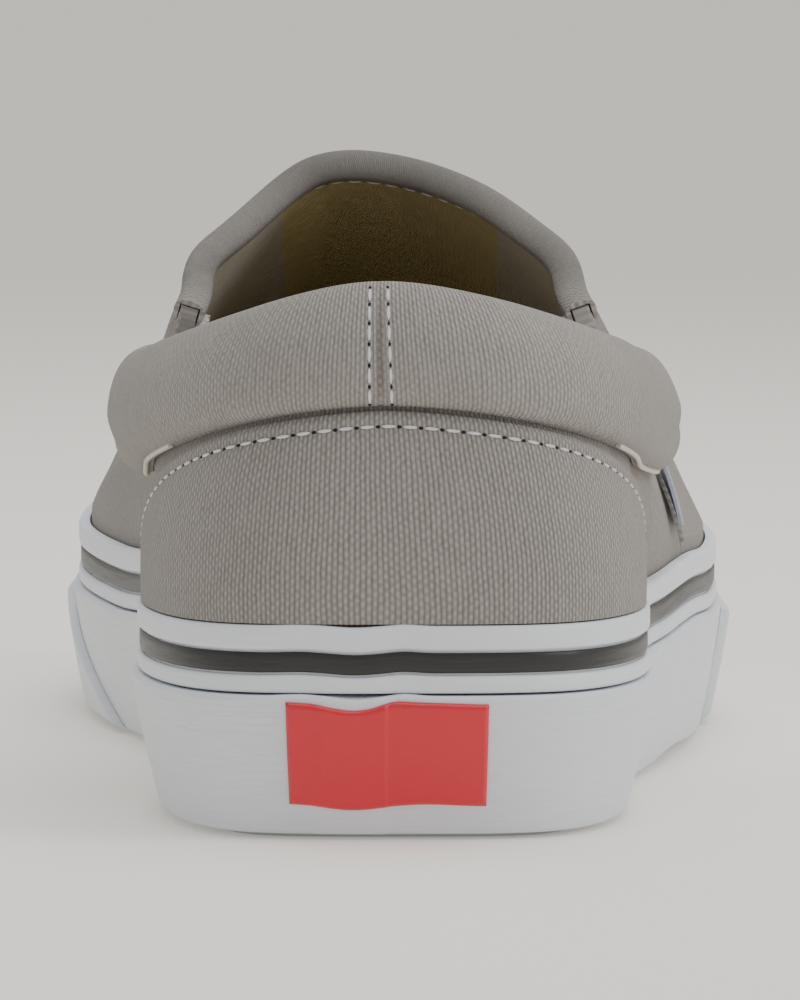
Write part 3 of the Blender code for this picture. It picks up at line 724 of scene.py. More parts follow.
class Finishes:
    """Every finish of the shoe, made once."""

    def __init__(self) -> None:
        """Mix the colours seen on the shoe."""
        self.canvas = Canvas("grey canvas", (148, 143, 138)).material()
        # The collar's canvas is the quarters' grey canvas painted a little lighter: painted light on the top
        # roll, which catches more of the overhead light.
        self.collar = Canvas("padded grey canvas", (154, 149, 144), contrast=0.34).material()
        self.binding = Canvas("pale binding", (226, 218, 204), contrast=0.15).material()
        self.lining = Lining("lining", (196, 182, 138), (190, 184, 172)).material()
        self.elastic = Elastic("white elastic", (236, 234, 240)).material()
        self.tape = Rubber("white rolled rubber", (226, 230, 236), crinkle=0.55).material()
        self.lower_tape = Rubber("white crinkled rubber", (224, 228, 234), crinkle=1.0).material()
        self.stripe = Rubber("black rubber", (42, 41, 40), 0.42, crinkle=0.4, floor_shade=0.0).material()
        self.label = Rubber("red rubber", (214, 28, 46), 0.34, crinkle=0.25, floor_shade=0.0, coat=0.2).material()
        # The low tread gets the strongest painted floor shade.
        self.tread = Rubber("tread rubber", (196, 199, 203), 0.6, crinkle=0.2, floor_shade=0.25).material()
        self.thread = Thread("white thread", (232, 230, 232)).material()
        # Near-black beads at the needle holes: painted shade inside the holes.
        self.hole = Thread("painted needle hole shade", (24, 22, 24)).material()
        self.sock = Canvas("tan sock", (186, 172, 130), contrast=0.2).material()
        self.tab = Canvas("plain woven tab", (176, 180, 196), rib=0.0005, contrast=0.15).material()


@dataclass
class Weaver:
    """Puts numpy surfaces into meshes, in the frame's own place."""

    last: Last

    def piece(self, name: str, points: Array, faces: Array, uv: Array, materials: Sequence,
              skins: Optional[Array] = None) -> bpy.types.Object:
        """Make a piece from whole arrays.

        Args:
            name: the piece's name.
            points: vertices as rows of X, Y, Z from the back of the heel.
            faces: four vertex numbers a row.
            uv: cloth coordinates of each face corner.
            materials: materials of the piece.
            skins: material number of each face.

        Returns:
            The object, which rides on the shoe's body.
        """
        used, faces = np.unique(faces, return_inverse=True)
        faces = faces.reshape(-1, 4)
        mesh = bpy.data.meshes.new(name)
        mesh.vertices.add(len(used))
        mesh.vertices.foreach_set("co", (points[used] + self.last.place).astype(np.float32).ravel())
        mesh.loops.add(faces.size)
        mesh.loops.foreach_set("vertex_index", faces.astype(np.int32).ravel())
        mesh.polygons.add(len(faces))
        mesh.polygons.foreach_set("loop_start", np.arange(0, faces.size, 4, dtype=np.int32))
        layer = mesh.uv_layers.new(name="cloth")
        layer.data.foreach_set("uv", uv.astype(np.float32).ravel())
        for material in materials:
            mesh.materials.append(material)
        if skins is not None:
            mesh.polygons.foreach_set("material_index", skins.astype(np.int32))
        mesh.update(calc_edges=True)
        mesh.validate()
        mesh.shade_smooth()
        mesh.set_sharp_from_angle(angle=np.radians(52))
        made = bpy.data.objects.new(name, mesh)
        bpy.context.collection.objects.link(made)
        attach(made, BODY)
        LOG.info("%s: %d faces", name, len(faces))
        return made

    def shell(self, name: str, outer: Array, inner: Array, uv: Array, materials: Sequence, slot: Slot,
              closed: bool = False, keep: Optional[Array] = None) -> bpy.types.Object:
        """Closed wall between two grids of points of rows and columns.

        Args:
            name: the piece's name.
            outer: outer points, rows by columns by 3, rising with the row.
            inner: inner points of the same shape.
            uv: cloth coordinates, with one more column than the points where the wall is closed.
            materials: one material, or one for the outside and one for the inside.
            slot: not used.
            closed: whether the last column joins the first.
            keep: which cells are there.

        Returns:
            The object.
        """
        rows, columns = outer.shape[:2]
        spans = columns if closed else columns - 1
        keep = np.ones((rows - 1, spans), bool) if keep is None else keep
        if closed:
            ring = np.concatenate([keep[:, -1:], keep, keep[:, :1]], axis=1)
        else:
            ring = np.pad(keep, ((0, 0), (1, 1)))
        padded = np.pad(ring, ((1, 1), (0, 0)))
        corners = (((0, 0), (0, 1)), ((0, 1), (1, 1)), ((1, 1), (1, 0)), ((1, 0), (0, 0)))
        beside = (padded[:-2, 1:-1], padded[1:-1, 2:], padded[2:, 1:-1], padded[1:-1, :-2])
        r, c = np.nonzero(keep)
        base = rows * columns

        def number(dr: int, dc: int, back: int, rr: Array, cc: Array) -> Array:
            """Vertex number of a cell's corner on the outer (0) or inner (1) grid."""
            return back * base + (rr + dr) * columns + (cc + dc) % columns

        loop = ((0, 0), (0, 1), (1, 1), (1, 0))
        faces = [np.stack([number(a, b, 0, r, c) for a, b in loop], axis=1),
                 np.stack([number(a, b, 1, r, c) for a, b in loop[::-1]], axis=1)]
        flat = [np.stack([uv[r + a, c + b] for a, b in loop], axis=1),
                np.stack([uv[r + a, c + b] for a, b in loop[::-1]], axis=1)]
        skins = [np.zeros(len(r)), np.full(len(r), len(materials) - 1)]
        for (start, end), there in zip(corners, beside):
            rr, cc = np.nonzero(keep & ~there)
            order = ((end, 0), (start, 0), (start, 1), (end, 1))
            faces.append(np.stack([number(*corner, back, rr, cc) for corner, back in order], axis=1))
            flat.append(np.stack([uv[rr + corner[0], cc + corner[1]] for corner, _ in order], axis=1))
            skins.append(np.zeros(len(rr)))
        points = np.concatenate([outer.reshape(-1, 3), inner.reshape(-1, 3)])
        return self.piece(name, points, np.concatenate(faces), np.concatenate(flat), materials,
                          np.concatenate(skins))

    def loft(self, name: str, rings: Array, uv: Array, material: bpy.types.Material, slot: Slot,
             closed: bool = False) -> bpy.types.Object:
        """Closed profile carried along a path.

        Args:
            name: the piece's name.
            rings: stations by profile points by 3, turning anticlockwise seen against the path.
            uv: cloth coordinates, one row and one column longer where the grid closes.
            material: its material.
            slot: not used.
            closed: whether the last station joins the first; if not, both ends narrow to a point.

        Returns:
            The object.
        """
        if not closed:
            ends = rings[[0, -1]].mean(axis=1, keepdims=True)
            rings = np.concatenate([np.repeat(ends[:1], rings.shape[1], axis=1), rings,
                                    np.repeat(ends[1:], rings.shape[1], axis=1)])
            uv = np.concatenate([uv[:1], uv, uv[-1:]])
        count, sides = rings.shape[:2]
        spans = count if closed else count - 1
        i, j = (grid.ravel() for grid in np.meshgrid(np.arange(spans), np.arange(sides), indexing="ij"))
        loop = ((0, 0), (1, 0), (1, 1), (0, 1))
        faces = np.stack([((i + a) % count) * sides + (j + b) % sides for a, b in loop], axis=1)
        flat = np.stack([uv[i + a, j + b] for a, b in loop], axis=1)
        made = self.piece(name, rings.reshape(-1, 3), faces, flat, [material])
        if not closed:
            close_poles(made.data)
        return made

    def beads(self, name: str, centres: Array, ahead: Array, out: Array, size: Sequence[float],
              material: bpy.types.Material, slot: Slot) -> bpy.types.Object:
        """Many small ellipsoids in one mesh, such as stitches and the dark beads of painted needle-hole
        shade.

        Args:
            name: the piece's name.
            centres: their middles.
            ahead: unit directions along each.
            out: unit directions out of the surface.
            size: half length, half width and half thickness.
            material: their material.
            slot: not used.

        Returns:
            The object.
        """
        tilt, turn = np.meshgrid(np.linspace(0, np.pi, 7), np.linspace(0, 2 * np.pi, 8, endpoint=False),
                                 indexing="ij")
        unit = np.stack([np.cos(tilt), np.sin(tilt) * np.cos(turn), np.sin(tilt) * np.sin(turn)], axis=-1)
        unit = unit.reshape(-1, 3) * np.asarray(size)
        aside = np.cross(out, ahead)
        axes = np.stack([ahead, aside, out], axis=1)
        points = centres[:, None, :] + np.einsum("pk,nkx->npx", unit, axes)
        i, j = (grid.ravel() for grid in np.meshgrid(np.arange(6), np.arange(8), indexing="ij"))
        one = np.stack([i * 8 + j, (i + 1) * 8 + j, (i + 1) * 8 + (j + 1) % 8, i * 8 + (j + 1) % 8], axis=1)
        faces = (one[None] + (np.arange(len(centres)) * 56)[:, None, None]).reshape(-1, 4)
        made = self.piece(name, points.reshape(-1, 3), faces, np.zeros((faces.size, 2)), [material])
        close_poles(made.data)
        return made


def close_poles(mesh: bpy.types.Mesh) -> None:
    """Merge the points that a surface's poles share, and point its faces outwards.

    Args:
        mesh: mesh to mend.
    """
    edited = bmesh.new()
    edited.from_mesh(mesh)
    bmesh.ops.remove_doubles(edited, verts=edited.verts, dist=1e-7)
    bmesh.ops.recalc_face_normals(edited, faces=edited.faces)
    edited.to_mesh(mesh)
    edited.free()


def upright(out: Array, ahead: Array) -> Array:
    """Part of each direction that stands across another one, at unit length."""
    out = out - (out * ahead).sum(axis=1, keepdims=True) * ahead
    return out / np.linalg.norm(out, axis=1, keepdims=True)


def grid_uv(along: Array, across: Array) -> Array:
    """Cloth coordinates of a grid from lengths along it and across it."""
    return np.stack(np.broadcast_arrays(along, across), axis=-1)


def lengths_across(points: Array) -> Array:
    """Length from the first row of a grid to each point, along its column."""
    steps = np.linalg.norm(np.diff(points, axis=0), axis=2)
    return np.concatenate([np.zeros((1, points.shape[1])), np.cumsum(steps, axis=0)])


class Crease(NamedTuple):
    """A soft trough in the canvas: place, reach, depth in metres and slant in degrees."""

    u: float
    v: float
    length: float
    width: float
    depth: float
    slant: float


def creased(last: Last, u: Array, v: Array, creases: Sequence[Crease], rib_length: float = 0.055) -> Array:
    """Offset of the canvas by its creases.

    Each is a bell curve along its length times a trough with a ridge on either side, which is a
    bell curve across it less half of one twice as wide.
    """
    total = np.zeros(np.broadcast(u, v).shape)
    for crease in creases:
        around = (np.mod(u - crease.u + 0.5, 1.0) - 0.5) * last.perimeter
        up = (v - crease.v) * rib_length
        angle = np.radians(crease.slant)
        along = around * np.cos(angle) + up * np.sin(angle)
        across = up * np.cos(angle) - around * np.sin(angle)
        trough = bell(across, crease.width) - 0.5 * bell(across, 2 * crease.width)
        total = total - crease.depth * bell(along, crease.length) * trough
    return total


@dataclass
class Sidewall:
    """Rolled rubber tapes, the stripe between them, the toe bumper and the plain heel label."""

    last: Last
    weaver: Weaver
    finishes: Finishes
    stations: int = 900
    edge: float = 0.0007
    tape_foot: float = 0.0008
    stripe_foot: float = 0.0234
    stripe_height: float = 0.0028
    stripe_thickness: float = 0.0009
    joint_start: float = -0.0098
    joint_end: float = -0.0012
    joint_rise: float = 0.00045
    upper_wave: float = 0.6
    upper_joint: float = 0.45
    bumper_thickness: float = 0.0014
    bumper_height: float = 0.0180
    bumper_round: float = 0.0009
    bumper_foot_ends: tuple[float, float] = (-0.0120, 0.0300)
    bumper_top_ends: tuple[float, float] = (-0.0180, -0.0300)
    label_width: float = 0.0262
    label_height: float = 0.0144
    label_foot: float = 0.0051
    label_thickness: float = 0.0007
    label_lip: float = 0.0001
    label_round: float = 0.0006
    label_offset: float = -0.0010

    def joint(self, u: Array) -> Array:
        """Rise of the tape's face where its end laps over its start at the back of the heel.

        Args:
            u: places round the shoe.

        Returns:
            Distance outward.
        """
        reach = (np.mod(u + 0.5, 1.0) - 0.5) * self.last.perimeter
        start = smooth(reach, self.joint_start - 0.0016, self.joint_start + 0.0010)
        end = 1 - smooth(reach, self.joint_end - 0.0001, self.joint_end + 0.0005)
        return self.joint_rise * start * end

    def wave(self, u: Array) -> Array:
        """How far the tape's upper edge dips and lifts round the lap, as three bell curves.

        Args:
            u: places round the shoe.

        Returns:
            Change of height.
        """
        reach = (np.mod(u + 0.5, 1.0) - 0.5) * self.last.perimeter
        dip = -0.00045 * bell(reach + 0.0050, 0.0032)
        lift = 0.00035 * bell(reach - 0.0012, 0.0022) + 0.00025 * bell(reach + 0.0125, 0.0035)
        return dip + lift

    def band(self, name: str, profile: Callable, material: bpy.types.Material, slot: Slot,
             node: str) -> None:
        """Carry a profile of (height, offset) points once round the shoe.

        Args:
            name: the piece's name.
            profile: gives heights, offsets and lengths across for each u.
            material: its material.
            slot: the record's slot.
            node: the solid that it stands for.
        """
        u = np.linspace(0, 1, self.stations, endpoint=False)[:, None]
        height, offset, across = profile(u)
        points = self.last.sidewall(u, height, offset)
        along = np.linspace(0, self.last.perimeter, self.stations + 1)[:, None]
        across = np.append(across, across[-1] + 0.001)[None, :]
        made = self.weaver.loft(name, points, grid_uv(along, across), material, slot, closed=True)
        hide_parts(node)

    def rounded_face(self, low: float, high: float, steps: int) -> tuple[Array, Array]:
        """Heights up a face with a quarter round at both edges, and how far each lies inside it.

        Args:
            low: lower edge.
            high: upper edge.
            steps: rows between the rounds.

        Returns:
            Heights and distances inward.
        """
        turn = np.linspace(0, np.pi / 2, 5)
        foot = low + self.edge * (1 - np.cos(turn))
        head = high - self.edge * (1 - np.cos(turn[::-1]))
        middle = np.linspace(foot[-1], head[0], steps)[1:-1]
        inside = np.concatenate([self.edge * (1 - np.sin(turn)), np.zeros(len(middle)),
                                 self.edge * (1 - np.sin(turn[::-1]))])
        return np.concatenate([foot, middle, head]), inside

    def tapes(self) -> None:
        """Lower tape, upper tape with its groove, and the stripe in the groove."""
        last = self.last
        low, low_inside = self.rounded_face(self.tape_foot, last.lower_tape_top, 12)

        def lower(u: Array) -> tuple[Array, Array, Array]:
            """Face with round edges, and the straight back that lies on the upper."""
            share = smooth(low, 0.010, last.lower_tape_top)
            height = low[None, :] + self.wave(u) * share[None, :]
            face = last.tape_face(u, low[None, :]) - low_inside[None, :] + self.joint(u)
            back = np.array([low[-1], low[0]])[None, :] * np.ones_like(u)
            height = np.concatenate([height, back], axis=1)
            offset = np.concatenate([face, last.bed(u, back)], axis=1)
            return height, offset, np.append(low, [0.024, 0.044])

        self.band("lower_tape", lower, self.finishes.lower_tape, Slot.TAPE, "foxing_lower")
        seam = last.lower_tape_top + last.clearance
        groove_foot = self.stripe_foot - last.clearance
        stripe_top = self.stripe_foot + self.stripe_height
        groove_top = stripe_top + last.clearance
        inset = last.upper_inset
        deep = inset + self.stripe_thickness
        bead, bead_inside = self.rounded_face(seam, groove_foot, 4)
        rim, rim_inside = self.rounded_face(groove_top, last.tape_top, 5)

        def upper(u: Array) -> tuple[Array, Array, Array]:
            """A thin bead, the groove for the stripe and the rim above it."""
            heights = np.concatenate([bead, [groove_foot, groove_top], rim, [last.tape_top, seam]])
            inside = np.concatenate([bead_inside + inset, [deep, deep], rim_inside + inset])
            share = smooth(heights, seam, groove_foot)[None, :]
            height = heights[None, :] + self.upper_wave * self.wave(u) * share
            front = -inside[None, :] + self.upper_joint * self.joint(u)
            back = last.bed(u, np.array([last.tape_top, seam])[None, :])
            return height, np.concatenate([front, back * np.ones_like(u)], axis=1), heights

        self.band("upper_tape", upper, self.finishes.tape, Slot.TAPE, "foxing_upper")
        line, line_inside = self.rounded_face(self.stripe_foot, stripe_top, 4)

        def stripe(u: Array) -> tuple[Array, Array, Array]:
            """Thin strip that stands just inside the face of the upper tape."""
            heights = np.concatenate([line, [stripe_top, self.stripe_foot]])
            height = heights[None, :] + self.upper_wave * self.wave(u)
            front = -(line_inside * 0.5 + inset + last.clearance)[None, :] + self.upper_joint * self.joint(u)
            back = np.full((len(u), 2), last.clearance - deep)
            return height, np.concatenate([front, back], axis=1), heights

        self.band("side_stripe", stripe, self.finishes.stripe, Slot.STRIPE, "foxing_stripe")

    def patch(self, name: str, u: Array, height: Array, thick: Array, material: bpy.types.Material,
              slot: Slot, node: str, lap: float) -> None:
        """Thin plate on the lower tape between its own face and that face moved outward.

        Args:
            name: the piece's name.
            u: places round the shoe.
            height: height on the tape.
            thick: distance outward.
            material: its material.
            slot: the record's slot.
            node: the solid that it stands for.
            lap: share of the tape's lap that it follows.
        """
        last = self.last
        near = last.tape_face(u, height) + lap * self.joint(u)
        outer = last.sidewall(u, height, near + thick)
        inner = last.sidewall(u, height, near + last.clearance * 0.2)
        made = self.weaver.shell(name, outer, inner, grid_uv(u * last.perimeter, height), [material], slot)
        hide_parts(node)

    def bumper(self) -> None:
        """Extra strip round the toe, with ends that slant forward as they rise."""
        last = self.last
        ball = np.array([last.outer_u["ball"], last.inner_u["ball"] + 1.0])
        foot = ball + np.array(self.bumper_foot_ends) / last.perimeter
        top = ball + np.array(self.bumper_top_ends) / last.perimeter
        turn = (1 - np.cos(np.linspace(0, np.pi, 22)))[:, None] / 2
        start = foot[0] + (top[0] - foot[0]) * turn
        end = foot[1] + (top[1] - foot[1]) * turn
        share = np.concatenate([np.linspace(0, 0.01, 6)[:-1], np.linspace(0.01, 0.99, 420),
                                np.linspace(0.99, 1, 6)[1:]])[None, :]
        u = start + (end - start) * share
        height = (self.tape_foot + self.bumper_height * turn) * np.ones_like(u)
        from_edge = np.minimum(turn, 1 - turn) * self.bumper_height
        from_end = np.minimum(share, 1 - share) * (end - start) * last.perimeter
        rounding = np.sqrt(np.clip(np.minimum(from_edge, from_end) / self.bumper_round, 0, 1))
        thick = last.clearance * 0.4 + self.bumper_thickness * rounding
        self.patch("toe_strip", u, height, thick, self.finishes.lower_tape, Slot.TAPE, "toe_bumper", 0.0)

    def label(self) -> None:
        """Plain red plate with a softly waved upper and lower edge."""
        last = self.last
        half = 0.5 * self.label_width
        reach = np.concatenate([[-half, -half + 0.00015], np.linspace(-half + 0.0004, half - 0.0004, 120),
                                [half - 0.00015, half]])[None, :]
        u = (reach + self.label_offset) / last.perimeter
        rows = np.concatenate([[0, 0.010], np.linspace(0.03, 0.97, 40), [0.990, 1.0]])[:, None]
        top_wave = (-0.0011 * bell(reach + 0.0042, 0.0042) + 0.00035 * bell(reach - 0.0010, 0.0020)
                    - 0.0003 * smooth(reach, 0.004, half))
        foot_wave = -0.0008 * bell(reach + 0.0042, 0.0050) - 0.0003 * smooth(reach, 0.004, half)
        foot = self.label_foot + foot_wave
        top = self.label_foot + self.label_height + top_wave
        height = foot + (top - foot) * rows
        from_side = np.minimum(reach + half, half - reach)
        from_foot = np.minimum(rows, 1 - rows) * self.label_height
        rounding = np.sqrt(np.clip(np.minimum(from_side, from_foot) / self.label_round, 0, 1))
        thick = self.label_lip + self.label_thickness * rounding
        self.patch("heel_plate", u, height, thick, self.finishes.label, Slot.LABEL, "heel_label", 1.0)

    def build(self) -> None:
        """Make every rubber piece of the sidewall."""
        self.tapes()
        self.bumper()
        self.label()


@dataclass
class CanvasUpper:
    """Quarters and vamp as one wall, with the counter, the gores, the throat rim and the tab."""

    last: Last
    weaver: Weaver
    finishes: Finishes
    vamp_step: float = 0.0007
    quarter_strip: float = 0.0050
    notch_v: float = 0.42
    collar_crown: float = 0.0030
    collar_foot_share: float = 0.636
    counter_thickness: float = 0.0010
    counter_reach: float = 0.0860
    counter_powers: tuple[float, float] = (1.6, 0.74)
    counter_round: float = 0.0010
    counter_edge: float = 0.25
    stitch_margin: float = 0.0024
    groove_depth: float = 0.00028
    groove_width: float = 0.0006
    gore_thickness: float = 0.0013
    gore_seam: float = 0.0090
    gore_lap: float = 0.14
    gore_dip: float = 0.0003
    gore_fold: float = 0.0005
    ripple_depth: float = 0.00022
    ripple_pitch: float = 0.0031
    rim_depth: float = 0.0036
    rim_thickness: float = 0.0008
    rim_shoulder: float = 0.55
    tab_length: float = 0.0085
    tab_height: float = 0.0088
    tab_foot: float = 0.0362
    tab_thickness: float = 0.0008

    def creases(self) -> tuple[Crease, ...]:
        """The main creases, placed between the shoe's own stations."""
        outer, inner = self.last.outer_u, self.last.inner_u
        return (
            Crease(outer["waist"], 0.55, 0.020, 0.0035, 0.0011, -28),
            Crease(outer["ball"], 0.42, 0.026, 0.0040, 0.0013, -20),
            Crease(outer["joint"], 0.40, 0.022, 0.0045, 0.0010, -8),
            Crease(inner["waist"] + 1, 0.50, 0.018, 0.0035, 0.0011, 28),
            Crease(inner["ball"] + 1, 0.40, 0.024, 0.0040, 0.0013, 18),
            Crease(inner["joint"] + 1, 0.42, 0.022, 0.0045, 0.0010, 6),
            Crease(outer["lobe"] - 0.014, 0.22, 0.014, 0.0030, 0.0009, 38),
            Crease(inner["lobe"] + 0.012, 0.24, 0.014, 0.0030, 0.0009, -40),
            Crease(outer["ankle"], 0.16, 0.016, 0.0032, 0.0006, 15),
            Crease(inner["ankle"], 0.15, 0.016, 0.0032, 0.0006, -18),
        )

    def columns(self) -> tuple[Array, tuple[float, float]]:
        """Columns once round the wall, with close pairs at its steps and notches."""
        last = self.last
        strip = self.quarter_strip / last.perimeter
        notch = (last.outer_u["lobe"] + strip, last.inner_u["lobe"] - strip + 1.0)
        marks = (0.0, notch[0], last.outer_u["vamp"] - last.step_u, last.outer_u["vamp"],
                 last.inner_u["vamp"] + 1.0, last.inner_u["vamp"] + last.step_u + 1.0, notch[1], 1.0)
        spans = [max(1, int((b - a) * last.perimeter / 0.0013)) for a, b in zip(marks, marks[1:])]
        parts = [np.linspace(a, b, n, endpoint=False) for a, b, n in zip(marks, marks[1:], spans)]
        return np.concatenate(parts), notch

    def wall(self) -> None:
        """The hollow canvas wall, open below and at the mouth, lined inside."""
        last = self.last
        u, notch = self.columns()
        turned = np.mod(u + 0.5, 1.0) - 0.5
        rear = (turned < last.outer_u["vamp"] - last.step_u) & (turned > last.inner_u["vamp"] + last.step_u)
        crown = np.where(rear, self.collar_crown, self.rim_thickness + last.clearance)
        top = last.v_below_top(u, crown)
        rows = np.concatenate([np.linspace(-1, 0, 4)[:-1], np.linspace(0, self.notch_v, 22)[:-1],
                               np.linspace(self.notch_v, 1, 28)])
        v = np.where(rows[:, None] > 0, rows[:, None] * top[None, :], rows[:, None])
        vamp = (u >= last.outer_u["vamp"] - 1e-9) & (u <= last.inner_u["vamp"] + 1.0 + 1e-9)
        step = self.vamp_step * np.clip(v / 0.06, 0, 1) * vamp[None, :]
        soft = creased(last, u[None, :], v, self.creases())
        soft = soft * smooth(v, 0.02, 0.12) * smooth(1 - v, 0.05, 0.2)
        middle = 0.5 * (u + np.append(u[1:], u[0] + 1.0))
        first, second = last.outer_u["vamp"] - last.step_u, last.inner_u["vamp"] + last.step_u + 1.0
        gap = ((middle > notch[0]) & (middle < first)) | ((middle < notch[1]) & (middle > second))
        keep = np.ones((len(rows) - 1, len(u)), bool)
        keep[np.ix_(rows[:-1] >= self.notch_v - 1e-9, gap)] = False
        outer = last.face(u[None, :], v, step + soft)
        inner = last.face(u[None, :], v, soft - last.wall)
        across = lengths_across(outer)
        across = np.concatenate([across, across[:, :1]], axis=1)
        uv = grid_uv(np.append(u, 1.0)[None, :] * last.perimeter, across)
        cloths = [self.finishes.canvas, self.finishes.lining]
        made = self.weaver.shell("canvas_wall", outer, inner, uv, cloths, Slot.CANVAS, closed=True, keep=keep)
        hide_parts("upper")

    def counter_top(self, u: Array) -> Array:
        """Height of the counter's arched edge: one less a power of the share out, to a power.

        Args:
            u: places round the shoe.

        Returns:
            Height above the floor.
        """
        share = np.abs(u) * self.last.perimeter / self.counter_reach * 0.985
        arch = np.clip(1 - share ** self.counter_powers[0], 0, 1) ** self.counter_powers[1]
        last = self.last
        collar_foot = last.tape_top + self.collar_foot_share * (last.heel_height - last.tape_top)
        rise = collar_foot - 4 * last.clearance - last.tape_top
        return last.tape_top + 2 * last.clearance + arch * rise

    def counter(self) -> None:
        """Canvas overlay on the back of the quarters, with a turned edge and a stitch groove."""
        last = self.last
        reach = self.counter_reach / last.perimeter
        u = reach * np.sin(np.linspace(-np.pi / 2, np.pi / 2, 260))
        top = last.v_at_height(u, self.counter_top(u))
        along = last.ribs(u)[:, 1]
        tape_edge = last.underside(along) + last.tape_top * last.growth(along)
        foot = last.v_at_height(u, tape_edge + last.clearance)
        rows = np.sin(np.linspace(0, np.pi / 2, 46))[:, None]
        v = foot + (top - foot) * rows
        surface = last.face(u[None, :], v)
        below = lengths_across(surface)
        from_top = below[-1:] - below
        side = (reach - np.abs(u))[None, :] * last.perimeter
        edge = np.sqrt(np.clip(np.minimum(from_top, side * 2) / self.counter_round, 0, 1))
        groove = self.groove_depth * bell(from_top - self.stitch_margin, self.groove_width)
        near = 2 * last.clearance
        thick = self.counter_edge + (1 - self.counter_edge) * edge
        outer = last.face(u[None, :], v, near + self.counter_thickness * thick - groove)
        inner = last.face(u[None, :], v, near)
        uv = grid_uv(u[None, :] * last.perimeter, below)
        made = self.weaver.shell("counter", outer, inner, uv, [self.finishes.canvas], Slot.CANVAS)
        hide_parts("heel_counter")

    def gore(self, name: str, node: str, side: Side) -> None:
        """Elastic insert with a folded upper edge and vertical ripples.

        Args:
            name: the piece's name.
            node: the solid that it stands for.
            side: side of the shoe.
        """
        last = self.last
        places = last.outer_u if side is Side.OUTER else last.inner_u
        sign = side.value
        back = places["lobe"] + sign * 2 * last.clearance / last.perimeter
        front = places["vamp"] + sign * self.gore_seam / last.perimeter
        u = np.sort(np.linspace(back, front, 90))
        share = (u - back) / (front - back)
        top = last.v_below_top(u, self.collar_crown
                               + (self.rim_depth + 2 * last.clearance - self.collar_crown) * share)
        foot = self.notch_v - self.gore_lap
        rows = np.linspace(0, 1, 44)[:, None]
        v = foot + (top - foot) * rows
        turns = u * last.perimeter / self.ripple_pitch
        ripple = self.ripple_depth * np.sin(2 * np.pi * turns) * smooth(rows, 0.0, 0.3)
        near = -(last.wall + last.clearance)
        fold = self.gore_fold * smooth(rows, 0.88, 0.94)
        outer = last.face(u[None, :], v, near - self.gore_dip + ripple + fold)
        inner = last.face(u[None, :], v, near - self.gore_thickness + ripple)
        uv = grid_uv(u[None, :] * last.perimeter, lengths_across(outer))
        made = self.weaver.shell(name, outer, inner, uv, [self.finishes.elastic], Slot.ELASTIC)
        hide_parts(node)

    def throat_rim(self) -> None:
        """Folded edge of the vamp: a rounded profile hung over the canvas."""
        last = self.last
        u = np.linspace(last.outer_u["vamp"], last.inner_u["vamp"] + 1.0, 320)
        middle = 0.5 * (self.vamp_step - last.wall)
        half = 0.5 * (self.vamp_step + last.wall) + last.clearance + self.rim_thickness
        turn = np.linspace(0, np.pi, 15)
        side = np.cos(turn)
        lift = np.sin(turn)
        leg = np.array([1.0, 0.75, 0.5]) * self.rim_depth
        pinch = np.array([0.78, 0.94, 1.0]) * half
        deep = np.concatenate([leg, half * self.rim_shoulder * (1 - lift), leg[::-1]])
        out = np.concatenate([pinch, side * half, -pinch[::-1]])
        v = np.stack([last.v_below_top(u, d) for d in deep])
        shell = last.face(u[None, :], v, middle + out[:, None])
        thin = half - self.rim_thickness
        core_out = np.clip(out, -thin, thin)
        core_deep = np.maximum(deep, self.rim_thickness)
        core_v = np.stack([last.v_below_top(u, d) for d in core_deep])
        core = last.face(u[None, :], core_v, middle + core_out[:, None])
        uv = grid_uv(u[None, :] * last.perimeter, np.cumsum(np.full(len(deep), 0.0005))[:, None])
        cloths = [self.finishes.canvas]
        made = self.weaver.shell("vamp_rim", shell[::-1], core[::-1], uv[::-1], cloths, Slot.CANVAS)
        close_poles(made.data)
        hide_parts("throat_rim")

    def tab(self) -> None:
        """Plain folded ribbon that comes out of the outer seam."""
        last = self.last
        front = last.outer_u["vamp"] - last.step_u - 2 * last.clearance / last.perimeter
        u = np.linspace(front - self.tab_length / last.perimeter, front, 40)
        share = np.linspace(0, 1, 26)
        v = np.stack([last.v_at_height(u, self.tab_foot + self.tab_height * s) for s in share])
        stand = np.linspace(1.2, 0.0, 40)[None, :] * self.tab_thickness
        fold = self.tab_thickness * np.sqrt(np.clip(np.linspace(0, 12, 40), 0, 1))[None, :]
        near = 2 * last.clearance + stand
        outer = last.face(u[None, :], v, near + 0.3 * self.tab_thickness + 0.7 * fold)
        inner = last.face(u[None, :], v, near)
        uv = grid_uv(u[None, :] * last.perimeter, share[:, None] * self.tab_height)
        made = self.weaver.shell("plain_tab", outer, inner, uv, [self.finishes.tab], Slot.TAB)
        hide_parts("side_tab")

    def build(self) -> None:
        """Make every canvas and elastic piece of the upper."""
        self.wall()
        self.counter()
        self.gore("outer_elastic", "gore_outer", Side.OUTER)
        self.gore("inner_elastic", "gore_inner", Side.INNER)
        self.throat_rim()
        self.tab()


class CollarSection(NamedTuple):
    """Lower edge of the collar as a share of the body height, and its padding as a share."""

    name: str
    foot_height: float
    padding: float


COLLAR = (
    CollarSection("heel", 0.636, 0.86),
    CollarSection("corner", 0.580, 0.90),
    CollarSection("side", 0.490, 0.95),
    CollarSection("ankle", 0.385, 1.00),
    CollarSection("lobe", 0.325, 1.08),
)


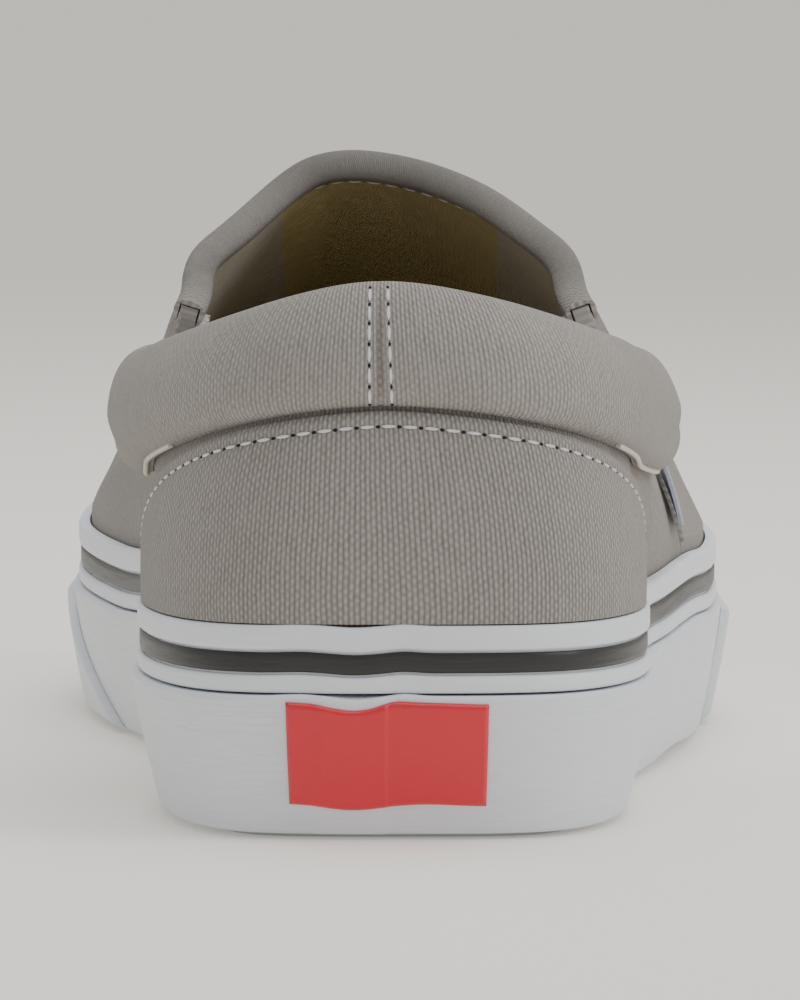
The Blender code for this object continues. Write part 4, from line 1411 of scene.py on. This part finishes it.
@dataclass
class PaddedCollar:
    """Foam roll in canvas round the back of the mouth, its pale binding and its lower piping."""

    last: Last
    weaver: Weaver
    finishes: Finishes
    padding: float = 0.0052
    lining: float = 0.0030
    crown: float = 0.0030
    lobe_radius: float = 0.0110
    end_share: float = 0.22
    lobe_lift: float = 0.30
    power: float = 0.7
    columns: int = 420
    turns: int = 30
    seam_u: float = -0.0011
    seam_depth: float = 0.0011
    stitch_offset: float = 0.0020
    binding_radius: float = 0.00045
    piping_radius: float = 0.0004
    piping_start: float = 0.047
    curve: ClosedCurve = field(init=False)
    u: Array = field(init=False)
    full: Array = field(init=False)
    outer: Array = field(init=False)

    def foot_v(self, u: Array, full: Array) -> Array:
        """The v of the roll's lower edge, lifted where the lobes round off.

        Args:
            u: places round the shoe.
            full: fullness of the roll there.

        Returns:
            One v for each u.
        """
        last = self.last
        share = self.curve(u)[..., 0]
        foot = last.tape_top + share * (last.heel_height - last.tape_top)
        foot = foot + (1 - full) * self.lobe_lift * (last.heel_height - foot)
        return last.v_at_height(u, foot)

    def layout(self) -> tuple[Array, Array]:
        """Columns between the lobes' ends, close together there, and each one's fullness."""
        last = self.last
        names = [c.name for c in COLLAR]
        knots = [last.outer_u[n] for n in names] + [last.inner_u[n] + 1.0 for n in names[:0:-1]]
        values = [(c.foot_height, c.padding) for c in COLLAR + COLLAR[:0:-1]]
        self.curve = ClosedCurve(np.array(knots), np.array(values))
        first, final = last.inner_u["lobe"], last.outer_u["lobe"]
        share = np.linspace(0, 1, self.columns)
        share = share - 0.10 * np.sin(2 * np.pi * share) / (2 * np.pi) * 5
        u = first + (final - first) * share
        along = np.minimum(u - first, final - u) * last.perimeter
        full = np.sqrt(np.clip(1 - (1 - np.clip(along / self.lobe_radius, 0, 1)) ** 2, 0, 1))
        return u, full

    def sewn(self, u: Array) -> Array:
        """How far the centre seam and its two rows of stitches pull the canvas in."""
        reach = u * self.last.perimeter - self.seam_u
        rows = bell(reach - self.stitch_offset, 0.0007) + bell(reach + self.stitch_offset, 0.0007)
        return self.seam_depth * bell(reach, 0.00055) + 0.0003 * rows

    def creases(self) -> tuple[Crease, ...]:
        """Soft pulls in the roll where it bends round the heel's corners."""
        outer, inner = self.last.outer_u, self.last.inner_u
        return (
            Crease(outer["corner"], 0.80, 0.010, 0.0028, 0.0005, 62),
            Crease(inner["corner"], 0.80, 0.010, 0.0028, 0.0005, -62),
            Crease(outer["side"] + 0.02, 0.70, 0.012, 0.0032, 0.0006, 35),
            Crease(inner["side"] - 0.03, 0.70, 0.012, 0.0032, 0.0007, -40),
            Crease(outer["ankle"], 0.62, 0.013, 0.0030, 0.0005, 20),
            Crease(inner["ankle"], 0.60, 0.013, 0.0030, 0.0006, -24),
            Crease(outer["lobe"] - 0.012, 0.66, 0.008, 0.0026, 0.0007, 30),
            Crease(inner["lobe"] + 0.012, 0.66, 0.008, 0.0026, 0.0007, -30),
        )

    def roll(self) -> None:
        """The padded roll: out over the quarter, over the topline and down inside."""
        last = self.last
        u, full = self.layout()
        foot_v = self.foot_v(u, full)
        fullness = self.end_share + (1 - self.end_share) * full
        outside = self.padding * self.curve(u)[:, 1] * fullness
        inside = self.lining * fullness
        middle = -last.wall / 2
        slot_v = last.v_below_top(u, self.crown - last.clearance)
        first_fall = (1 - np.cos(np.pi / 6)) / 2
        outer_rows, slot_rows = [], []
        faces = ((1, outside, last.clearance), (-1, inside, -(last.wall + last.clearance)))
        for side, thick, near in faces:
            pad, bare = [], []
            for turn in np.linspace(0, 1, self.turns + 1)[1:]:
                fall = (1 - np.cos(np.pi * turn)) / 2
                slot_fall = np.clip((fall - first_fall) / (1 - first_fall), 0, 1)
                base = middle + (near - middle) * min(1.0, 2 * turn)
                v = 1 + (foot_v - 1) * fall
                pull = self.sewn(u) * np.sin(np.pi * min(turn * 1.4, 1.0) * 0.5) if side == 1 else 0.0
                soft = creased(last, u, v, self.creases()) * np.sin(np.pi * turn) if side == 1 else 0.0
                bulge = side * thick * np.sin(np.pi * turn) ** self.power
                pad.append(last.face(u, v, base + bulge - pull + soft))
                slot = middle + (near - middle) * min(1.0, 6 * turn)
                bare.append(last.face(u, slot_v + (foot_v - slot_v) * slot_fall, slot))
            if side == 1:
                outer_rows = pad[::-1] + [last.face(u, np.ones_like(u), middle - 0.3 * self.sewn(u))]
                slot_rows = bare[::-1] + [last.face(u, slot_v, middle)]
            else:
                outer_rows += pad
                slot_rows += bare
        outer, inner = np.array(outer_rows), np.array(slot_rows)
        uv = grid_uv(u[None, :] * last.perimeter, lengths_across(outer))
        made = self.weaver.shell("padded_collar", outer, inner, uv, [self.finishes.collar], Slot.PADDED)
        close_poles(made.data)
        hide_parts("collar")
        self.u, self.full, self.outer = u, full, outer

    def tube(self, name: str, path: Array, radius: float, material: bpy.types.Material) -> None:
        """Round cord along a path: a circle in the plane across the path at each point.

        Args:
            name: the piece's name.
            path: middle of the cord.
            radius: its radius.
            material: its material.
        """
        ahead = np.gradient(path, axis=0)
        ahead /= np.linalg.norm(ahead, axis=1, keepdims=True)
        aside = np.cross(ahead, np.array([0.0, 0.0, 1.0]))
        aside /= np.linalg.norm(aside, axis=1, keepdims=True)
        up = np.cross(aside, ahead)
        turn = np.linspace(0, 2 * np.pi, 10, endpoint=False)
        ring = np.cos(turn)[None, :, None] * aside[:, None, :]
        ring = ring + np.sin(turn)[None, :, None] * up[:, None, :]
        points = path[:, None, :] + radius * ring
        along = np.append(0, np.cumsum(np.linalg.norm(np.diff(path, axis=0), axis=1)))
        uv = grid_uv(along[:, None], np.linspace(0, 2 * np.pi * radius, 11)[None, :])
        self.weaver.loft(name, points, uv, material, Slot.CANVAS)

    def trim(self) -> None:
        """Pale binding on the roll's crest, and fine piping under its lower edge at the sides."""
        last = self.last
        crest = self.outer[self.turns + 2, 6:-6] + np.array([0, 0, 0.0001])
        self.tube("collar_binding", crest, self.binding_radius, self.finishes.binding)
        reach = np.abs(self.u) * last.perimeter
        for name, sign in (("outer_piping", 1), ("inner_piping", -1)):
            chosen = (self.u * sign > 0) & (reach > self.piping_start) & (self.full > 0.75)
            path = self.outer[1][chosen] + np.array([0, 0, -0.0002])
            self.tube(name, path, self.piping_radius, self.finishes.binding)

    def build(self) -> None:
        """Make the roll and its trim."""
        self.roll()
        self.trim()


@dataclass
class Stitching:
    """Rows of thread and the painted shade of their needle holes."""

    last: Last
    weaver: Weaver
    finishes: Finishes
    upper: CanvasUpper
    collar: PaddedCollar
    pitch: float = 0.00296
    half_width: float = 0.00024
    half_thickness: float = 0.00020
    hole: float = 0.00034

    def row(self, name: str, path: Array, out: Array, share: float = 0.66) -> None:
        """Lay stitches a pitch apart along a path, with a dark bead of painted needle-hole shade between each
        two.

        Args:
            name: the row's name.
            path: points along the row, on the surface.
            out: the surface's outward direction at each.
            share: part of the pitch that a stitch spans.
        """
        steps = np.linalg.norm(np.diff(path, axis=0), axis=1)
        along = np.append(0, np.cumsum(steps))
        count = int(along[-1] / self.pitch)

        def at(distance: Array) -> tuple[Array, Array]:
            """Place and outward direction at distances along the path."""
            place = np.stack([np.interp(distance, along, path[:, k]) for k in range(3)], axis=1)
            normal = np.stack([np.interp(distance, along, out[:, k]) for k in range(3)], axis=1)
            return place, normal / np.linalg.norm(normal, axis=1, keepdims=True)

        centre = (np.arange(count) + 0.5) * self.pitch
        place, normal = at(centre)
        ahead = at(centre + 0.0004)[0] - at(centre - 0.0004)[0]
        ahead /= np.linalg.norm(ahead, axis=1, keepdims=True)
        normal = upright(normal, ahead)
        half = 0.5 * share * self.pitch
        self.weaver.beads(name, place + normal * 0.00008, ahead, normal,
                          (half, self.half_width, self.half_thickness), self.finishes.thread, Slot.CANVAS)
        # Dark beads between the stitches: painted shade where the needle went through the canvas.
        hole_shade_places, hole_out = at(np.arange(count + 1) * self.pitch)
        ahead = np.vstack([ahead, ahead[-1:]])
        hole_out = upright(hole_out, ahead)
        size = (self.hole, self.hole * 0.8, 0.00012)
        self.weaver.beads(name + "_hole_shades", hole_shade_places - hole_out * 0.00004, ahead, hole_out, size,
                          self.finishes.hole, Slot.CANVAS)

    def on_face(self, u: Array, v: Array, offset: Union[Array, float]) -> tuple[Array, Array]:
        """Points of the upper at an offset, and the surface's outward direction there.

        Args:
            u: places round the shoe.
            v: 0 at the top of the sidewall, 1 at the topline.
            offset: distance outward.

        Returns:
            Points and unit directions.
        """
        place = self.last.face(u, v, offset)
        out = self.last.face(u, v, np.asarray(offset) + 0.001) - place
        return place, out / np.linalg.norm(out, axis=1, keepdims=True)

    def counter_row(self) -> None:
        """One row inside the counter's arched edge, down to the tape on both sides."""
        upper, last = self.upper, self.last
        reach = (upper.counter_reach - 0.0022) / last.perimeter
        u = reach * np.sin(np.linspace(-np.pi / 2, np.pi / 2, 500))
        stretch = upper.counter_reach / (upper.counter_reach - 0.0022)
        height = upper.counter_top(u * stretch) - upper.stitch_margin * 0.92
        height = np.maximum(height, last.tape_top + 0.0006)
        v = last.v_at_height(u, height)
        offset = 2 * last.clearance + upper.counter_thickness - 0.00022
        self.row("counter_stitches", *self.on_face(u, v, offset))

    def centre_rows(self) -> None:
        """Two rows on either side of the collar's centre seam."""
        collar, last = self.collar, self.last
        for name, side in (("left_seam_stitches", -1), ("right_seam_stitches", 1)):
            u0 = (collar.seam_u + side * collar.stitch_offset) / last.perimeter
            column = int(np.argmin(np.abs(collar.u - u0)))
            path = collar.outer[2:collar.turns - 1, column]
            before = collar.outer[2:collar.turns - 1, column - 3]
            after = collar.outer[2:collar.turns - 1, column + 3]
            out = np.cross(after - before, np.gradient(path, axis=0))
            out /= np.linalg.norm(out, axis=1, keepdims=True)
            self.row(name, path, out, share=0.74)

    def throat_row(self) -> None:
        """One row round the vamp, just below its folded edge, outside and inside."""
        last, upper = self.last, self.upper
        u = np.linspace(last.outer_u["vamp"] + 0.002, last.inner_u["vamp"] + 0.998, 500)
        v = last.v_below_top(u, upper.rim_depth + 0.0012)
        self.row("throat_stitches", *self.on_face(u, v, upper.vamp_step))
        inside, out = self.on_face(u, v, -last.wall)
        self.row("throat_inner_stitches", inside, -out)

    def build(self) -> None:
        """Sew every row."""
        self.counter_row()
        self.centre_rows()
        self.throat_row()


@dataclass
class Footbed:
    """The sock that the foot stands on, and the moulded bottom."""

    last: Last
    weaver: Weaver
    finishes: Finishes
    thickness: float = 0.0045
    heel_cup: float = 0.0015
    cup_end: float = 0.4
    edge: float = 0.0009

    def sock(self) -> None:
        """Sock as a disc of rings that shrink to a line along the middle, with a round edge."""
        last = self.last
        u = np.linspace(0, 1, 400, endpoint=False)
        foot = last.outsole + last.clearance
        inset = last.bed(u, foot) - last.wall - 3 * last.clearance
        rim = last.sidewall(u, foot, inset)
        spine = rim.copy()
        spine[:, 0] = 0.5 * (rim[:, 0] + rim[(-np.arange(400)) % 400, 0])
        spine[:, :2] = spine[:, :2] * 0.5 + np.array([-0.004, 0.5 * last.length]) * 0.5
        shrink = np.concatenate([[0.0, 0.0], self.edge / 0.03 * (1 - np.cos(np.linspace(0, np.pi / 2, 5))),
                                 np.linspace(0.05, 0.999, 40)])
        shoulder = self.thickness - self.edge
        lift = np.concatenate([[0.0, shoulder], shoulder + self.edge * np.sin(np.linspace(0, np.pi / 2, 5)),
                               np.full(40, self.thickness)])
        rings = rim[None] + (spine - rim)[None] * shrink[:, None, None]
        middle = 4 * shrink * (1 - 0.5 * shrink)
        cup = -self.heel_cup * np.clip(1 - rings[..., 1] / (self.cup_end * last.length), 0, 1)
        rings[..., 2] += lift[:, None] + cup * np.clip(middle, 0, 1)[:, None]
        rings = np.concatenate([rings, spine[None]])
        rings[-1, :, 2] = foot
        uv = rings[..., :2]
        uv = np.concatenate([uv, uv[:, :1]], axis=1)
        uv = np.concatenate([uv, uv[:1]])
        made = self.weaver.loft("sock_liner", rings, uv, self.finishes.sock, Slot.SOCK, closed=True)
        close_poles(made.data)
        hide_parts("insole")

    def bottom(self) -> None:
        """Give the moulded bottom its rubber."""
        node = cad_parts["outsole"]
        node.data.materials.clear()
        node.data.materials.append(self.finishes.tread)
        LOG.info("outsole: dressed")

    def build(self) -> None:
        """Make the sock and dress the bottom."""
        self.sock()
        self.bottom()


@dataclass
class Studio:
    """Pale paper sweep, soft lights and the camera behind the heel."""

    last: Last
    camera_distance: float = 0.950
    camera_height: float = 0.107
    focal: float = 249.5
    aim_across: float = 0.00076
    aim_up: float = -0.0627
    paper: Colour = (234, 231, 224)

    def sweep(self) -> None:
        """Floor that curves up into a wall far behind: a straight run, an arc and a straight rise."""
        bend = np.linspace(0, np.pi / 2, 24)
        radius, turn_at = 1.2, 2.4
        y = np.concatenate([[-3.0, turn_at], turn_at + radius * np.sin(bend[1:]), [turn_at + radius]])
        z = np.concatenate([[0.0, 0.0], radius * (1 - np.cos(bend[1:])), [4.0]])
        x = np.array([-4.0, 4.0])
        grid = np.broadcast_arrays(x[None, :], y[:, None], z[:, None])
        points = np.stack(grid, axis=-1).reshape(-1, 3)
        i = np.arange(len(y) - 1) * 2
        faces = np.stack([i, i + 1, i + 3, i + 2], axis=1)
        mesh = bpy.data.meshes.new("paper_sweep")
        mesh.from_pydata(points.tolist(), [], faces.tolist())
        mesh.materials.append(Backdrop("paper", self.paper, glow=0.25).material())
        mesh.shade_smooth()
        made = bpy.data.objects.new("paper_sweep", mesh)
        bpy.context.collection.objects.link(made)

    def lamp(self, name: str, place: Sequence[float], target: Sequence[float], size: float, power: float,
             colour: Colour = (255, 255, 255)) -> None:
        """Square area light that faces a target.

        Args:
            name: its name.
            place: where it stands.
            target: what it faces.
            size: side of the square.
            power: watts.
            colour: display colour.
        """
        data = bpy.data.lights.new(name, "AREA")
        data.size = size
        data.energy = power
        data.color = linear(colour)[:3]
        made = bpy.data.objects.new(name, data)
        made.location = place
        made.rotation_euler = (Vector(target) - Vector(place)).to_track_quat("-Z", "Y").to_euler()
        bpy.context.collection.objects.link(made)

    def lights(self) -> None:
        """A broad light overhead, a softer one from the right and an even pale surround."""
        world = bpy.data.worlds.new("surround")
        world.use_nodes = True
        background = world.node_tree.nodes["Background"]
        background.inputs["Color"].default_value = (1.0, 0.99, 0.98, 1.0)
        background.inputs["Strength"].default_value = 0.55
        bpy.context.scene.world = world
        self.lamp("overhead", (0.15, 0.1, 1.5), (0, 0, 0), 1.4, 16.0)
        self.lamp("right_front", (1.3, -0.5, 0.9), (0, 0, 0.04), 0.8, 7.0)

    def camera(self) -> None:
        """Long lens behind the heel, aimed at the shoe."""
        data = bpy.data.cameras.new("view_from_behind")
        data.sensor_fit = "AUTO"
        data.sensor_width = 36.0
        data.lens = self.focal
        data.clip_end = 20.0
        made = bpy.data.objects.new("view_from_behind", data)
        made.location = Vector((0, -self.camera_distance, self.camera_height)) + Vector(self.last.place)
        aim = Vector((self.aim_across, 1.0, self.aim_up))
        made.rotation_euler = aim.to_track_quat("-Z", "Y").to_euler()
        bpy.context.collection.objects.link(made)
        bpy.context.scene.camera = made

    def build(self) -> None:
        """Set the stage."""
        self.camera()
        self.sweep()
        self.lights()


def main() -> None:
    """Build the shoe from the floor up."""
    logging.basicConfig(level=logging.INFO, format="%(message)s")
    last = Last()
    weaver = Weaver(last)
    finishes = Finishes()
    Studio(last).build()
    Footbed(last, weaver, finishes).build()
    Sidewall(last, weaver, finishes).build()
    upper = CanvasUpper(last, weaver, finishes)
    upper.build()
    collar = PaddedCollar(last, weaver, finishes)
    collar.build()
    Stitching(last, weaver, finishes, upper, collar).build()


if __name__ == "__main__":
    main()
